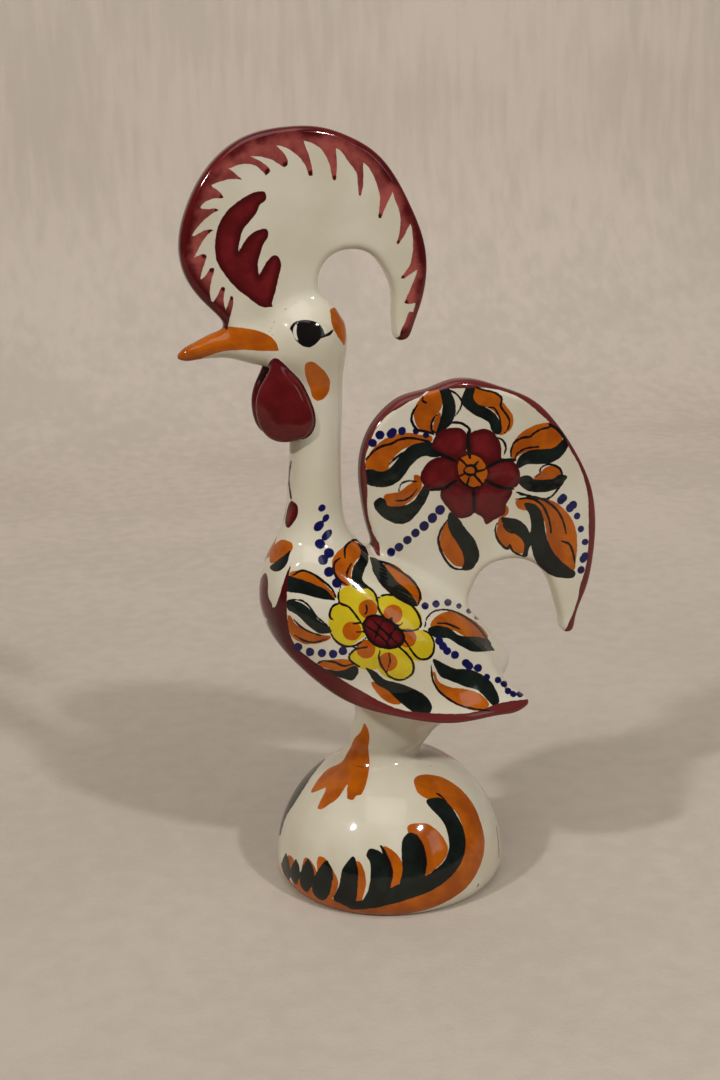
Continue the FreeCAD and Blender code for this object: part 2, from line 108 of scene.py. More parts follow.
WATTLE_SPACING = 9.6
WATTLE_SPLAY = math.radians(-19.8)

# Shares of the trunk: level up body_rise, breast and rump along the body's length, half width
BODY_SHARES = [
    (0.000, -0.140, 0.208, 0.535), (0.070, -0.122, 0.308, 0.638), (0.141, -0.145, 0.403, 0.761),
    (0.225, -0.214, 0.485, 0.885), (0.296, -0.282, 0.505, 0.959), (0.380, -0.347, 0.454, 1.000),
    (0.479, -0.411, 0.378, 0.996), (0.563, -0.454, 0.303, 0.947), (0.662, -0.483, 0.196, 0.856),
    (0.746, -0.474, 0.083, 0.741), (0.817, -0.453, -0.016, 0.638), (0.887, -0.431, -0.089, 0.527),
]
# Level, centre and radius of the stem, and level and radius of the neck, which ends inside the head
STEM_SHARES = [(0.00, -0.16, 1.07), (0.33, -0.17, 1.01), (0.52, -0.07, 1.04), (0.76, 0.07, 1.13)]
NECK_SHARES = [(0.00, 1.19), (0.12, 1.07), (0.30, 1.00), (0.57, 0.98), (0.82, 0.98), (0.91, 0.94),
               (0.98, 0.84), (1.04, 0.75), (1.10, 0.72), (1.16, 0.72)]
NECK_PLACE_SHARE = -0.268
# The flared bell that the wings are cut from: level, centre, half length, half width
SKIRT_SHARES = [
    (-0.120, 0.179, 0.667, 1.094), (0.000, 0.154, 0.628, 1.000), (0.113, 0.115, 0.590, 0.906),
    (0.229, 0.071, 0.551, 0.850), (0.365, 0.013, 0.506, 0.819), (0.520, -0.051, 0.449, 0.788),
    (0.676, -0.128, 0.387, 0.713), (0.831, -0.192, 0.318, 0.609), (0.967, -0.250, 0.238, 0.488),
    (1.100, -0.276, 0.179, 0.394),
]
# Outlines of wing, comb and tail seen from the side: along from the front end, and up from the lowest level
WING_FRONT_SHARE = -0.484
WING_SHARES = [
    (0.055, 0.975), (0.010, 0.770), (0.002, 0.620), (0.030, 0.470), (0.095, 0.345), (0.235, 0.172),
    (0.430, 0.070), (0.670, 0.006), (0.850, 0.004), (0.965, 0.004), (1.002, 0.030), (0.975, 0.078),
    (0.900, 0.190), (0.860, 0.300), (0.740, 0.480), (0.560, 0.690), (0.390, 0.860), (0.230, 0.985),
    (0.120, 1.020),
]
COMB_SHARES = [
    (0.205, 0.090), (0.150, 0.162), (0.078, 0.252), (0.019, 0.360), (0.000, 0.504), (0.037, 0.665),
    (0.131, 0.842), (0.280, 0.965), (0.430, 0.999), (0.580, 0.992), (0.700, 0.942), (0.786, 0.881),
    (0.929, 0.640), (0.990, 0.445), (0.997, 0.330), (0.975, 0.190), (0.933, 0.060), (0.905, 0.010),
    (0.868, 0.010), (0.853, 0.065), (0.851, 0.140), (0.852, 0.232), (0.820, 0.337), (0.760, 0.419),
    (0.686, 0.443), (0.603, 0.420), (0.552, 0.346), (0.556, 0.240), (0.600, 0.165), (0.560, 0.060),
    (0.380, 0.020),
]
TAIL_SHARES = [
    (0.067, 0.385), (0.032, 0.475), (0.006, 0.600), (0.001, 0.720), (0.035, 0.830), (0.110, 0.915),
    (0.190, 0.958), (0.285, 0.975), (0.380, 1.000), (0.480, 0.998), (0.590, 0.964), (0.719, 0.911),
    (0.826, 0.815), (0.914, 0.695), (0.982, 0.554), (1.000, 0.430), (0.990, 0.290), (0.960, 0.170),
    (0.913, 0.052), (0.893, 0.008), (0.866, 0.009), (0.849, 0.055), (0.832, 0.120), (0.807, 0.195),
    (0.765, 0.263), (0.685, 0.310), (0.592, 0.318), (0.508, 0.290), (0.455, 0.215), (0.400, 0.130),
    (0.250, 0.150), (0.120, 0.230),
]
# The beak: distance from the head's centre, upper and lower line, half width
BEAK_SHARES = [
    (0.160, 0.900, -0.420, 1.080), (0.320, 0.960, -0.300, 1.070), (0.460, 0.990, -0.130, 0.980),
    (0.600, 0.985, 0.055, 0.860), (0.730, 0.870, 0.095, 0.700), (0.850, 0.640, 0.070, 0.520),
    (0.940, 0.440, 0.070, 0.340), (0.990, 0.280, 0.105, 0.170),
]
BEAK_TIP_SHARE = 0.35
# A wattle's outline, by its radius, from its root
WATTLE_SHARES = [
    (0.00, 0.05), (0.48, -0.44), (0.82, -0.85), (1.06, -1.33), (1.23, -1.83), (1.28, -2.22), (1.16, -2.62),
    (0.80, -2.90), (0.38, -3.00), (0.00, -2.99), (-0.34, -2.84), (-0.60, -2.54), (-0.74, -2.16),
    (-0.79, -1.69), (-0.72, -1.25), (-0.52, -0.82), (-0.28, -0.42),
]
# Points along the smooth outlines
SLAB_POINTS = 900
WING_POINTS = 720
WATTLE_POINTS = 90

# How far the clay runs together where two pieces are luted, and the rounding of the edges
DOME_LUTE = 5.0
HEAD_LUTE = 5.0
BEAK_LUTE = 3.0
COMB_LUTE = 4.0
WATTLE_LUTE = 1.2
WING_LUTE = 5.0
TAIL_LUTE = 4.0
FOOT_ROUNDING = 1.2
SLAB_ROUNDING = 2.3
WING_ROUNDING = 1.9

# Spacing of the lattice on which the clay's surface is found, its margin in spacings, the distance that
# stands for the air, and the box round the dome's hollow
SPACING = 0.52
LATTICE_MARGIN = 4
FAR = 9.0
HOLLOW_BOX = ((-38, -38, -2), (38, 0, 60))
# The moves of a point onto the skin: how many, the least slope they reckon with, and how far they go in all
SKIN_MOVES = 3
LEAST_SLOPE = 0.05
SKIN_REACH = 0.7

# The search for the clay along a ray: its start, its steps, where it ends, and a step outside the lattice
RAY_START = 420.0
RAY_STEPS = 90
RAY_END = 0.02
RAY_LEAST_STEP = 0.05
RAY_STEP_SHARE = 0.8
RAY_OUTSIDE_GAP = 4.0

# Farther than anything, and small values that keep divisions off zero
ENDLESS = 1e9
NO_LENGTH = 1e-12
NO_REACH = 1e-5
WATTLE_NO_REACH = 1e-4
WATTLE_NO_SLOPE = 1e-3
NO_SLOPE = 1e-6
SLOPE_NUDGE = 0.3

HEAD_X = NECK_PLACE_SHARE * BODY_LENGTH + NECK_LEAN - HEAD_FORWARD
HEAD_Z = BODY_BOTTOM + BODY_RISE + NECK_RISE + HEAD_LIFT

SLOTS = {
    "base_dome": "dome_glaze", "stem_collar": "stem_glaze", "body_shell": "body_glaze",
    "left_wing": "wing_glaze", "neck_tube": "neck_glaze", "head": "head_glaze", "beak": "beak_glaze",
    "comb": "comb_glaze", "left_wattle": "wattle_glaze", "tail": "tail_glaze", "right_wing": "wing_glaze",
    "right_wattle": "wattle_glaze",
}
NUMBER = {name: number for number, name in enumerate(SLOTS, start=1)}


def spline(knots, values, closed=False):
    """The cubic curve through values at knots. A closed one has one knot more, where it meets its start."""
    knots = np.asarray(knots, float)
    values = np.asarray(values, float)
    count = len(values)
    spans = np.diff(knots)
    matrix = np.zeros((count, count))
    right = np.zeros_like(values)
    for i in range(count):
        if not closed and i in (0, count - 1):
            matrix[i, i] = 1.0
            continue
        before = spans[i - 1]
        after = spans[i]
        matrix[i, i - 1] += before
        matrix[i, i] += 2 * (before + after)
        matrix[i, (i + 1) % count] += after
        rise = (values[(i + 1) % count] - values[i]) / after
        right[i] = 6 * (rise - (values[i] - values[i - 1]) / before)
    bends = np.linalg.solve(matrix, right)

    def at(place):
        place = np.clip(place, knots[0], knots[-1])
        span = np.clip(np.searchsorted(knots, place, side="right") - 1, 0, len(spans) - 1)
        width = spans[span][..., None]
        part = ((place - knots[span]) / spans[span])[..., None]
        rest = 1 - part
        following = (span + 1) % count
        bend = (rest ** 3 - rest) * bends[span] + (part ** 3 - part) * bends[following]
        return rest * values[span] + part * values[following] + bend * width ** 2 / 6

    return at


def closed_outline(shares, start, size, steps):
    """Points along the smooth closed curve through the shares of the size, counted from the start."""
    points = np.array([(start[0] + along * size[0], start[1] + up * size[1]) for along, up in shares])
    chords = np.linalg.norm(np.roll(points, -1, axis=0) - points, axis=1)
    knots = np.concatenate([[0.0], np.cumsum(chords)])
    return spline(knots, points, closed=True)(np.linspace(0, knots[-1], steps, endpoint=False))


COMB_OUTLINE = closed_outline(COMB_SHARES, (HEAD_X - COMB_FORWARD, HEAD_Z - COMB_DROP),
                              (COMB_LENGTH, COMB_RISE), SLAB_POINTS)
TAIL_OUTLINE = closed_outline(TAIL_SHARES, (-TAIL_FRONT, TAIL_BOTTOM), (TAIL_LENGTH, TAIL_RISE), SLAB_POINTS)
WING_OUTLINE = closed_outline(WING_SHARES, (WING_FRONT_SHARE * WING_LENGTH, WING_BOTTOM),
                              (WING_LENGTH, WING_RISE), WING_POINTS)
WATTLE_OUTLINE = closed_outline(WATTLE_SHARES, (0, 0), (WATTLE_RADIUS, WATTLE_RADIUS), WATTLE_POINTS)


def outline_distance(x, z, loop):
    """Distance to a closed outline, less than zero inside it."""
    x, z = np.broadcast_arrays(x, z)
    nearest = np.full(x.shape, ENDLESS, np.float32)
    inside = np.zeros(x.shape, bool)
    for (x0, z0), (x1, z1) in zip(loop, np.roll(loop, -1, axis=0)):
        run = x1 - x0
        rise = z1 - z0
        from_x = x - x0
        from_z = z - z0
        part = np.clip((from_x * run + from_z * rise) / (run * run + rise * rise + NO_LENGTH), 0, 1)
        nearest = np.minimum(nearest, (from_x - run * part) ** 2 + (from_z - rise * part) ** 2)
        if z0 != z1:
            inside ^= ((z0 <= z) != (z1 <= z)) & (from_x < run * from_z / rise)
    distance = np.sqrt(nearest)
    return np.where(inside, -distance, distance)


def ring_distance(along, across, sideways, table):
    """Distance to a form whose sections across one direction are ovals. The table gives each section's place
    along it, its centre, and its half axes across and sideways."""
    table = np.asarray(table, float)
    at = spline(table[:, 0], table[:, 1:])
    here = at(along)
    slope = (at(along + SLOPE_NUDGE) - at(along - SLOPE_NUDGE)) / (2 * SLOPE_NUDGE)
    half_across = here[..., 1]
    half_sideways = here[..., 2]
    u = (across - here[..., 0]) / half_across
    v = sideways / half_sideways
    q = np.sqrt(u * u + v * v) + NO_REACH
    steep_across = u / (half_across * q)
    steep_sideways = v / (half_sideways * q)
    lean = u * slope[..., 0] / half_across
    swell = u * u * slope[..., 1] / half_across + v * v * slope[..., 2] / half_sideways
    steep_along = (lean + swell) / q
    distance = (q - 1) / np.sqrt(steep_across ** 2 + steep_sideways ** 2 + steep_along ** 2)
    past_end = np.maximum(along - table[-1, 0], table[0, 0] - along)
    return np.maximum(distance, past_end)


def rounded_meeting(first, second, rounding):
    """Distance to what lies inside both, with their shared edge rounded."""
    a = first + rounding
    b = second + rounding
    outside = np.sqrt(np.maximum(a, 0) ** 2 + np.maximum(b, 0) ** 2)
    return outside - rounding + np.minimum(np.maximum(a, b), 0)


def luted(first, second, width):
    """Both forms together, with the clay run together over the given width."""
    share = np.maximum(width - np.abs(first - second), 0) / width
    return np.minimum(first, second) - share * share * width / 4


def trunk_table():
    """Sections of stem, body and neck, which are one skin."""
    rows = []
    stem_rise = BODY_BOTTOM - STEM_BOTTOM
    for rise, centre, radius in STEM_SHARES:
        reach = radius * STEM_RADIUS
        rows.append((STEM_BOTTOM + rise * stem_rise, centre * STEM_RADIUS, reach, reach))
    for rise, breast, rump, width in BODY_SHARES:
        rows.append((BODY_BOTTOM + rise * BODY_RISE, (breast + rump) / 2 * BODY_LENGTH,
                     (rump - breast) / 2 * BODY_LENGTH, width * BODY_WIDTH / 2))
    for rise, radius in NECK_SHARES:
        reach = radius * NECK_RADIUS
        rows.append((BODY_BOTTOM + BODY_RISE + rise * NECK_RISE,
                     NECK_PLACE_SHARE * BODY_LENGTH + rise * NECK_LEAN, reach, reach))
    return rows


def trunk(x, y, z):
    return ring_distance(z, x, y, trunk_table())


def dome_outside(x, y, z):
    return np.sqrt(x * x + y * y + (z - DOME_EQUATOR) ** 2) - DOME_RADIUS


def dome(x, y, z):
    """Half ball over a rounded lower edge and a flat ring, with its hollow inside."""
    out = np.sqrt(x * x + y * y)
    edge_radius = (FOOT_DRAW ** 2 + DOME_EQUATOR ** 2) / (2 * FOOT_DRAW)
    lift = z - DOME_EQUATOR
    ball = np.sqrt(out ** 2 + lift ** 2) - DOME_RADIUS
    edge = np.sqrt((out - DOME_RADIUS + edge_radius) ** 2 + lift ** 2) - edge_radius
    solid = np.maximum(np.where(lift > 0, ball, edge), -z)
    hollow = np.where(lift > 0, ball + DOME_WALL, out - DOME_RADIUS + DOME_WALL)
    return -luted(-solid, hollow, FOOT_ROUNDING)


def head(x, y, z):
    from_centre = (x - HEAD_X, y, z - HEAD_Z)
    reach = np.sqrt(sum((part / half) ** 2 for part, half in zip(from_centre, HEAD_HALF))) + NO_REACH
    steep = np.sqrt(sum((part / half ** 2) ** 2 for part, half in zip(from_centre, HEAD_HALF))) + NO_REACH
    return (reach - 1) * reach / steep


def beak(x, y, z):
    rows = []
    for reach, upper, lower, width in BEAK_SHARES:
        rows.append((reach * BEAK_LENGTH, HEAD_Z - BEAK_DROP + (upper + lower) / 2 * BEAK_DEPTH,
                     (upper - lower) / 2 * BEAK_DEPTH, width * BEAK_WIDTH / 2))
    last, middle, depth, width = rows[-1]
    rows[-1] = (last, middle, depth * BEAK_TIP_SHARE, width * BEAK_TIP_SHARE)
    return ring_distance(HEAD_X - x, z, y, rows)


def slab(outline, thickness):
    def distance(x, y, z):
        edge = outline_distance(x, z, outline)
        return rounded_meeting(edge, np.abs(y) - thickness / 2, SLAB_ROUNDING)

    return distance


def bell(x, y, z):
    rows = [(WING_BOTTOM + rise * WING_RISE, centre * WING_LENGTH, length * WING_LENGTH,
             width * WING_SPREAD / 2) for rise, centre, length, width in SKIRT_SHARES]
    return ring_distance(z, x, y, rows)


def wing(x, y, z):
    edge = outline_distance(x, z, WING_OUTLINE)
    return rounded_meeting(edge, np.abs(bell(x, y, z) + WING_WALL / 2) - WING_WALL / 2, WING_ROUNDING)


def wattle(x, y, z):
    """A plump drop, turned about its root so that it lies against the neck."""
    from_x = x - (HEAD_X - WATTLE_FORWARD)
    from_y = y + WATTLE_SPACING / 2
    across = from_x * math.cos(WATTLE_SPLAY) + from_y * math.sin(WATTLE_SPLAY)
    out = from_y * math.cos(WATTLE_SPLAY) - from_x * math.sin(WATTLE_SPLAY)
    edge = outline_distance(across, z - (HEAD_Z - WATTLE_SINK), WATTLE_OUTLINE)
    inward = np.maximum(1 + edge / WATTLE_RADIUS, 0.0)
    q = np.sqrt(inward ** 3 + (out / WATTLE_PLUMP) ** 2) + WATTLE_NO_REACH
    steep_inward = 1.5 * inward ** 2 / WATTLE_RADIUS
    steep = np.sqrt(steep_inward ** 2 + (out / WATTLE_PLUMP ** 2) ** 2) / q + WATTLE_NO_SLOPE
    return (q - 1) / steep


# Each form: the node it stands for, its distance, the box that holds it, and how its clay is luted on
FORMS = [
    ("trunk", trunk, (-45, -26, 38), (46, 0, 180), DOME_LUTE),
    ("base_dome", dome, (-38, -38, -1), (38, 0, 44), DOME_LUTE),
    ("head", head, (-36, -12, 163), (-9, 0, 191), HEAD_LUTE),
    ("beak", beak, (-63, -7, 168), (-26, 0, 184), BEAK_LUTE),
    ("comb", slab(COMB_OUTLINE, COMB_THICKNESS), (-61, -5, 173), (17, 0, 241), COMB_LUTE),
    ("tail", slab(TAIL_OUTLINE, TAIL_THICKNESS), (-9, -5, 73), (73, 0, 163), TAIL_LUTE),
    ("left_wing", wing, (-40, -34, 58), (42, 0, 115), WING_LUTE),
    ("left_wattle", wattle, (-42, -13, 145), (-19, 0, 175), WATTLE_LUTE),
]


# The corners of a cell
CORNERS = [(dx, dy, dz) for dx in (0, 1) for dy in (0, 1) for dz in (0, 1)]


class Lattice:
    """The clay's left half on an even lattice: its distance, the nearest form's own distance, and the piece's
    number. The right half is added at the end as its mirror image."""

    def __init__(self):
        margin = LATTICE_MARGIN * SPACING
        low = np.array(cad_low) / METRE - margin
        high = np.array(cad_high) / METRE + margin
        reach = math.ceil(max(-low[1], high[1]) / SPACING)
        self.low = np.array((low[0], -reach * SPACING, low[2]))
        counts = np.ceil((high - self.low) / SPACING).astype(int)
        self.axes = [self.low[k] + SPACING * np.arange(counts[k] + 1) for k in (0, 1, 2)]
        self.axes[1] = SPACING * np.arange(-reach, 1)
        shape = [len(axis) for axis in self.axes]
        self.clay = np.full(shape, FAR, np.float32)
        self.single = np.full(shape, FAR, np.float32)
        self.piece = np.zeros(shape, np.uint8)
        for form in FORMS:
            self.add(*form)
        self.hollow_out()
        self.mirror()
        self.smooth()
        self.piece[self.clay >= 0] = 0

    def block(self, low, high, margin):
        parts = []
        for k in (0, 1, 2):
            first = np.searchsorted(self.axes[k], low[k] - margin)
            last = np.searchsorted(self.axes[k], high[k] + margin)
            parts.append(slice(first, last))
        x, y, z = (self.axes[k][parts[k]] for k in (0, 1, 2))
        return tuple(parts), x[:, None, None], y[None, :, None], z[None, None, :]

    def add(self, name, distance, low, high, lute):
        part, x, y, z = self.block(low, high, FAR - 2)
        here = distance(x, y, z).astype(np.float32)
        self.clay[part] = luted(self.clay[part], here, lute)
        nearer = here < self.single[part]
        if name == "left_wing":
            over_body = (outline_distance(x, z, WING_OUTLINE) < 0) & (bell(x, y, z) > -WING_WALL)
            nearer |= over_body & (self.piece[part] == NUMBER["body_shell"])
        self.single[part] = np.minimum(self.single[part], here)
        if name == "trunk":
            number = np.where(z < BODY_BOTTOM, NUMBER["stem_collar"], NUMBER["body_shell"])
            number = np.where(z < BODY_BOTTOM + BODY_RISE, number, NUMBER["neck_tube"])
            number = np.broadcast_to(number, here.shape)[nearer]
        else:
            number = NUMBER[name]
        self.piece[part][nearer] = number

    def hollow_out(self):
        """The dome's hollow and the vent in its crown."""
        part, x, y, z = self.block(*HOLLOW_BOX, 1)
        below = np.sqrt(x * x + y * y) - DOME_RADIUS + DOME_WALL
        hollow = np.where(z > DOME_EQUATOR, dome_outside(x, y, z) + DOME_WALL, below)
        vent_x = STEM_SHARES[0][1] * STEM_RADIUS
        vent = np.sqrt((x - vent_x) ** 2 + y * y) - VENT_RADIUS
        vent = np.maximum(vent, z - BODY_BOTTOM)
        self.clay[part] = np.maximum(self.clay[part], -np.minimum(hollow, vent))

    def mirror(self):
        """Adds the figure's other half."""
        other = self.piece[:, -2::-1].copy()
        for piece in ("wing", "wattle"):
            other[other == NUMBER["left_" + piece]] = NUMBER["right_" + piece]
        self.piece = np.concatenate([self.piece, other], axis=1)
        self.clay = np.concatenate([self.clay, self.clay[:, -2::-1]], axis=1)

    def smooth(self):
        """Evens out the lattice's small steps."""
        for k in (0, 1, 2):
            evened = self.clay.copy()
            rows = np.moveaxis(self.clay, k, 0)
            np.moveaxis(evened, k, 0)[1:-1] = rows[1:-1] / 2 + (rows[:-2] + rows[2:]) / 4
            self.clay = evened

    def sample(self, places):
        """The clay's distance between the lattice's points, at places counted in spacings."""
        base = np.floor(places).astype(int)
        base = np.clip(base, 0, np.array(self.clay.shape) - 2)
        part = (places - base).astype(np.float32)
        result = np.zeros(len(places), np.float32)
        for dx, dy, dz in CORNERS:
            weight = (np.abs(1 - dx - part[:, 0]) * np.abs(1 - dy - part[:, 1])
                      * np.abs(1 - dz - part[:, 2]))
            result += weight * self.clay[base[:, 0] + dx, base[:, 1] + dy, base[:, 2] + dz]
        return result

    def slope(self, places):
        """The direction in which the clay's distance grows."""
        result = np.zeros((len(places), 3), np.float32)
        for k, nudge in enumerate(np.eye(3)):
            result[:, k] = self.sample(places + nudge) - self.sample(places - nudge)
        return result / 2


def cell_points(lattice):
    """One point in each cell where two pieces, or a piece and the air, meet."""
    piece = lattice.piece
    cells = tuple(count - 1 for count in piece.shape)
    first = piece[:-1, :-1, :-1]
    mixed = np.zeros(cells, bool)
    for dx, dy, dz in CORNERS[1:]:
        mixed |= piece[dx:dx + cells[0], dy:dy + cells[1], dz:dz + cells[2]] != first
    flat = np.flatnonzero(mixed)
    index = np.full(cells, -1, np.int32)
    index.flat[flat] = np.arange(len(flat), dtype=np.int32)
    cell = np.stack(np.unravel_index(flat, cells), axis=1)
    values = {c: lattice.clay[cell[:, 0] + c[0], cell[:, 1] + c[1], cell[:, 2] + c[2]] for c in CORNERS}
    total = np.zeros((len(flat), 3))
    count = np.zeros(len(flat))
    for a in CORNERS:
        for k in (0, 1, 2):
            if a[k] == 1:
                continue
            b = tuple(1 if n == k else a[n] for n in (0, 1, 2))
            crossing = (values[a] < 0) != (values[b] < 0)
            part = np.where(crossing, values[a] / np.where(crossing, values[a] - values[b], 1.0), 0.0)
            point = np.repeat(np.array(a, float)[None], len(flat), axis=0)
            point[:, k] += part
            total += point * crossing[:, None]
            count += crossing
    skin = count > 0
    places = np.where(skin[:, None], total / np.maximum(count, 1)[:, None], 0.5) + cell
    return places, skin, index


def on_the_skin(lattice, places, skin):
    """Moves the points of the skin onto the clay's exact surface and gives their directions outwards."""
    moving = places[skin]
    start = moving.copy()
    for _ in range(SKIN_MOVES):
        slope = lattice.slope(moving)
        height = lattice.sample(moving) / SPACING
        steep = np.maximum((slope ** 2).sum(axis=1), LEAST_SLOPE) / SPACING ** 2
        moving = moving - (height / steep / SPACING)[:, None] * slope
        moving = start + np.clip(moving - start, -SKIN_REACH, SKIN_REACH)
    outwards = np.zeros((len(places), 3))
    outwards[skin] = lattice.slope(moving)
    lengths = np.linalg.norm(outwards, axis=1, keepdims=True)
    places = places.copy()
    places[skin] = moving
    return places, outwards / np.maximum(lengths, NO_SLOPE)


def faces_by_piece(lattice, index):
    """The four-sided faces round each piece, pointing outwards."""
    found = {number: [] for number in NUMBER.values()}
    piece = lattice.piece
    for k in (0, 1, 2):
        u = (k + 1) % 3
        v = (k + 2) % 3
        lower = [slice(1, -1)] * 3
        upper = [slice(1, -1)] * 3
        lower[k] = slice(0, -1)
        upper[k] = slice(1, None)
        before = piece[tuple(lower)]
        after = piece[tuple(upper)]
        where = np.nonzero(before != after)
        place = [where[n] + (0 if n == k else 1) for n in (0, 1, 2)]
        corners = []
        for du, dv in ((-1, -1), (0, -1), (0, 0), (-1, 0)):
            cell = list(place)
            cell[u] = cell[u] + du
            cell[v] = cell[v] + dv
            corners.append(index[tuple(cell)])
        faces = np.stack(corners, axis=1)
        for number in found:
            found[number].append(faces[before[where] == number])
            found[number].append(faces[after[where] == number][:, ::-1])
    return {number: np.concatenate(parts) for number, parts in found.items()}


def camera_axes():
    """The camera's directions to the right, up and ahead."""
    ahead = np.array((math.sin(CAMERA_TURN) * math.cos(CAMERA_TILT),
                      math.cos(CAMERA_TURN) * math.cos(CAMERA_TILT), -math.sin(CAMERA_TILT)))
    level = np.array((math.cos(CAMERA_TURN), -math.sin(CAMERA_TURN), 0.0))
    above = np.cross(level, ahead)
    right = math.cos(CAMERA_ROLL) * level + math.sin(CAMERA_ROLL) * above
    up = math.cos(CAMERA_ROLL) * above - math.sin(CAMERA_ROLL) * level
    return right, up, ahead


RIGHT, UP, AHEAD = camera_axes()


def rays(pixels):
    """Directions from the camera through pixels of the photograph."""
    across = (pixels[:, 0] - FRAME_WIDTH / 2) / FOCAL_PX
    down = (pixels[:, 1] - FRAME_HEIGHT / 2) / FOCAL_PX
    direction = AHEAD + across[:, None] * RIGHT - down[:, None] * UP
    return direction / np.linalg.norm(direction, axis=1, keepdims=True)


def on_clay(pixels, lattice):
    """Where the rays meet the clay, or come nearest to it."""
    direction = rays(pixels)
    depth = np.full(len(pixels), RAY_START)
    nearest = np.full(len(pixels), ENDLESS)
    best = depth.copy()
    for _ in range(RAY_STEPS):
        places = (CAMERA_PLACE + direction * depth[:, None] - lattice.low) / SPACING
        outside = ((places < 0) | (places > np.array(lattice.clay.shape) - 1)).any(axis=1)
        gap = np.where(outside, RAY_OUTSIDE_GAP, lattice.sample(places))
        closer = (gap < nearest) & ~outside
        nearest = np.where(closer, gap, nearest)
        best = np.where(closer, depth, best)
        step = np.maximum(gap, RAY_LEAST_STEP) * RAY_STEP_SHARE
        depth = depth + np.where(nearest < RAY_END, 0.0, step)
    return CAMERA_PLACE + direction * best[:, None]


# The painting. Its points are pixels of the 720 x 1080 photograph, chosen one by one along each brush mark.
# A star marks a sharp corner, and every other point lies on a smooth line. A slash stands between two marks.
# Half widths and radii are in the same pixels.
PIXELS_PER_MM = 3.17


def fills(layer, points):
    return layer, "fill", 0.0, points


def strokes(layer, half_width, points):
    return layer, "stroke", half_width, points


def spots(layer, radius, points):
    return layer, "spots", radius, points


def clear(layer, points):
    """Keeps a layer off what lies inside the points."""
    return layer, "clear", 0.0, points


# The middles of the two flowers, which are painted in more than one layer
WING_HEART = "362,626 366,618 376,615 388,620 399,629 404,638 400,645 390,648 378,646 369,639"
TAIL_HEART = "458,470 459,461 465,456 473,455 481,459 486,467 487,476 482,484 474,488 465,484 460,477"
# The comb's bare middle. What lies outside it is the flamed rim.
COMB_MIDDLE = """
    229,322 231,314 233,305 233.5,296* 230.5,296* 228,305 226,311* 224,303 224,295 225.5,288* 222,286*
    219,292 215,300 212,303* 210,295 211,283 213,275 214.5,268* 210,268* 206,275 200,281* 202,272 205,262
    207,255* 203,254* 198,256 194,258* 199,248 205,238 211,232 214,230* 210,229* 203,231 196,235 191,237*
    197,228 204,220 213,213 219,210* 215,208* 207,209 199,209* 204,203 212,199 224,198* 220,192 214,188
    211,185* 222,181 234,179 243,180* 237,175 232,171 228,169* 238,165 247,164 256,166 262,171 266,176*
    270,172* 269,168 262,162 252,157 250,156* 262,157 272,160 279,164 284,168* 288,165* 287,158 281,150
    274,144* 286,148 297,155 305,165 309,176* 313,176* 312,168 309,155 303,140* 314,144 322,150 329,163
    333,181* 336,180* 337,166 336,148* 342,152 349,163 356,172 358,185 359,199* 362,192 363.5,178 363,162*
    369,168 376,182 380,198 378,219* 381,218* 386,206 391,196 392,191* 396,202 400,214 400,230 396,245*
    399,244* 405,234 411,222* 412.5,235 413,248 411,262 406,271 400,278* 404,279* 412,273 418,269* 414,280
    409,292 404,303* 408,304* 416,303* 413,312* 409,312 405,322 401,331 400,336* 396,341* 392,352* 320,380*
    250,380* 226,345*"""
COMB_PAINT = [
    fills("wine", """
        273,307* 262,307 250,299 235,287 225,275 217,262 215,248 216,235 220,222 228,210 240,200 252,193
        262,191 266,194 266,200 260,205 257,212 250,221 243,230 240,240 238,253* 247,238 256,231 265,228.5
        268,231 268,237 263,245 260,255 258,263 259,276* 262,270 268,260 275,255 280,259 281,267 278,280
        275,293 272,303"""),
    fills("dark", """
        276,309* 262,310 248,302 233,289 223,277 215,263 213,248 214,235 218,220 226,208 238,198 252,191
        264,189 270,196 262,212 262,226 272,229 270,242 268,254 284,254 284,268 280,285"""),
    spots("dark", 3.4, """
        268,172 286,165 311,174 335,179 359,197 379,217 397,243 401,278 405,303 401,333 224,288 232,297
        212,269 205,255 211,231"""),
    spots("dark", 2.6, "217,210 222,197 241,180"),
]
FACE_PAINT = [
    fills("black", """
        290,328 295,322 303,320 312,321 320,325 324,333 320,339 314,345 309,347.5 301,345 295,339 292,332"""),
    fills("white", "298.5,321.5* 296.6,328 296.8,335 299,342* 294.6,338 293,332 294.4,326"),
    strokes("black", 1.3, "321,337 329,334 333,330"),
    fills("orange", """
        331,310* 336,309 343,320 345,333 344,344* 338,335 333,325 / 306,365 313,363 320,368 327,376 329,385
        326,395 318,400 313,396 311,388 307,378 / 255,331 268,336 275,343 278,350* 262,350 245,349 228,350
        215,352.5 203,357 190,361 172,364* 166,352* 188,334* 212,328 235,328"""),
]
TRUNK_PAINT = [
    strokes("wine", 2.2, "291,462 289,478 291,498"),
    fills("wine", "291,501 297,505 298,513 294,522 288,528 285,521 287,510"),
    fills("orange", "270,556 274,546 281,541 290,543 291,550 285,556 277,561 271,562"),
    fills("green", "290,551* 284,556 276,562 270,567 275,571 282,569 287,562"),
    spots("blue", 3.5, "322,508 326,518"),
    spots("blue", 4.8, "319,526 327,535"),
]
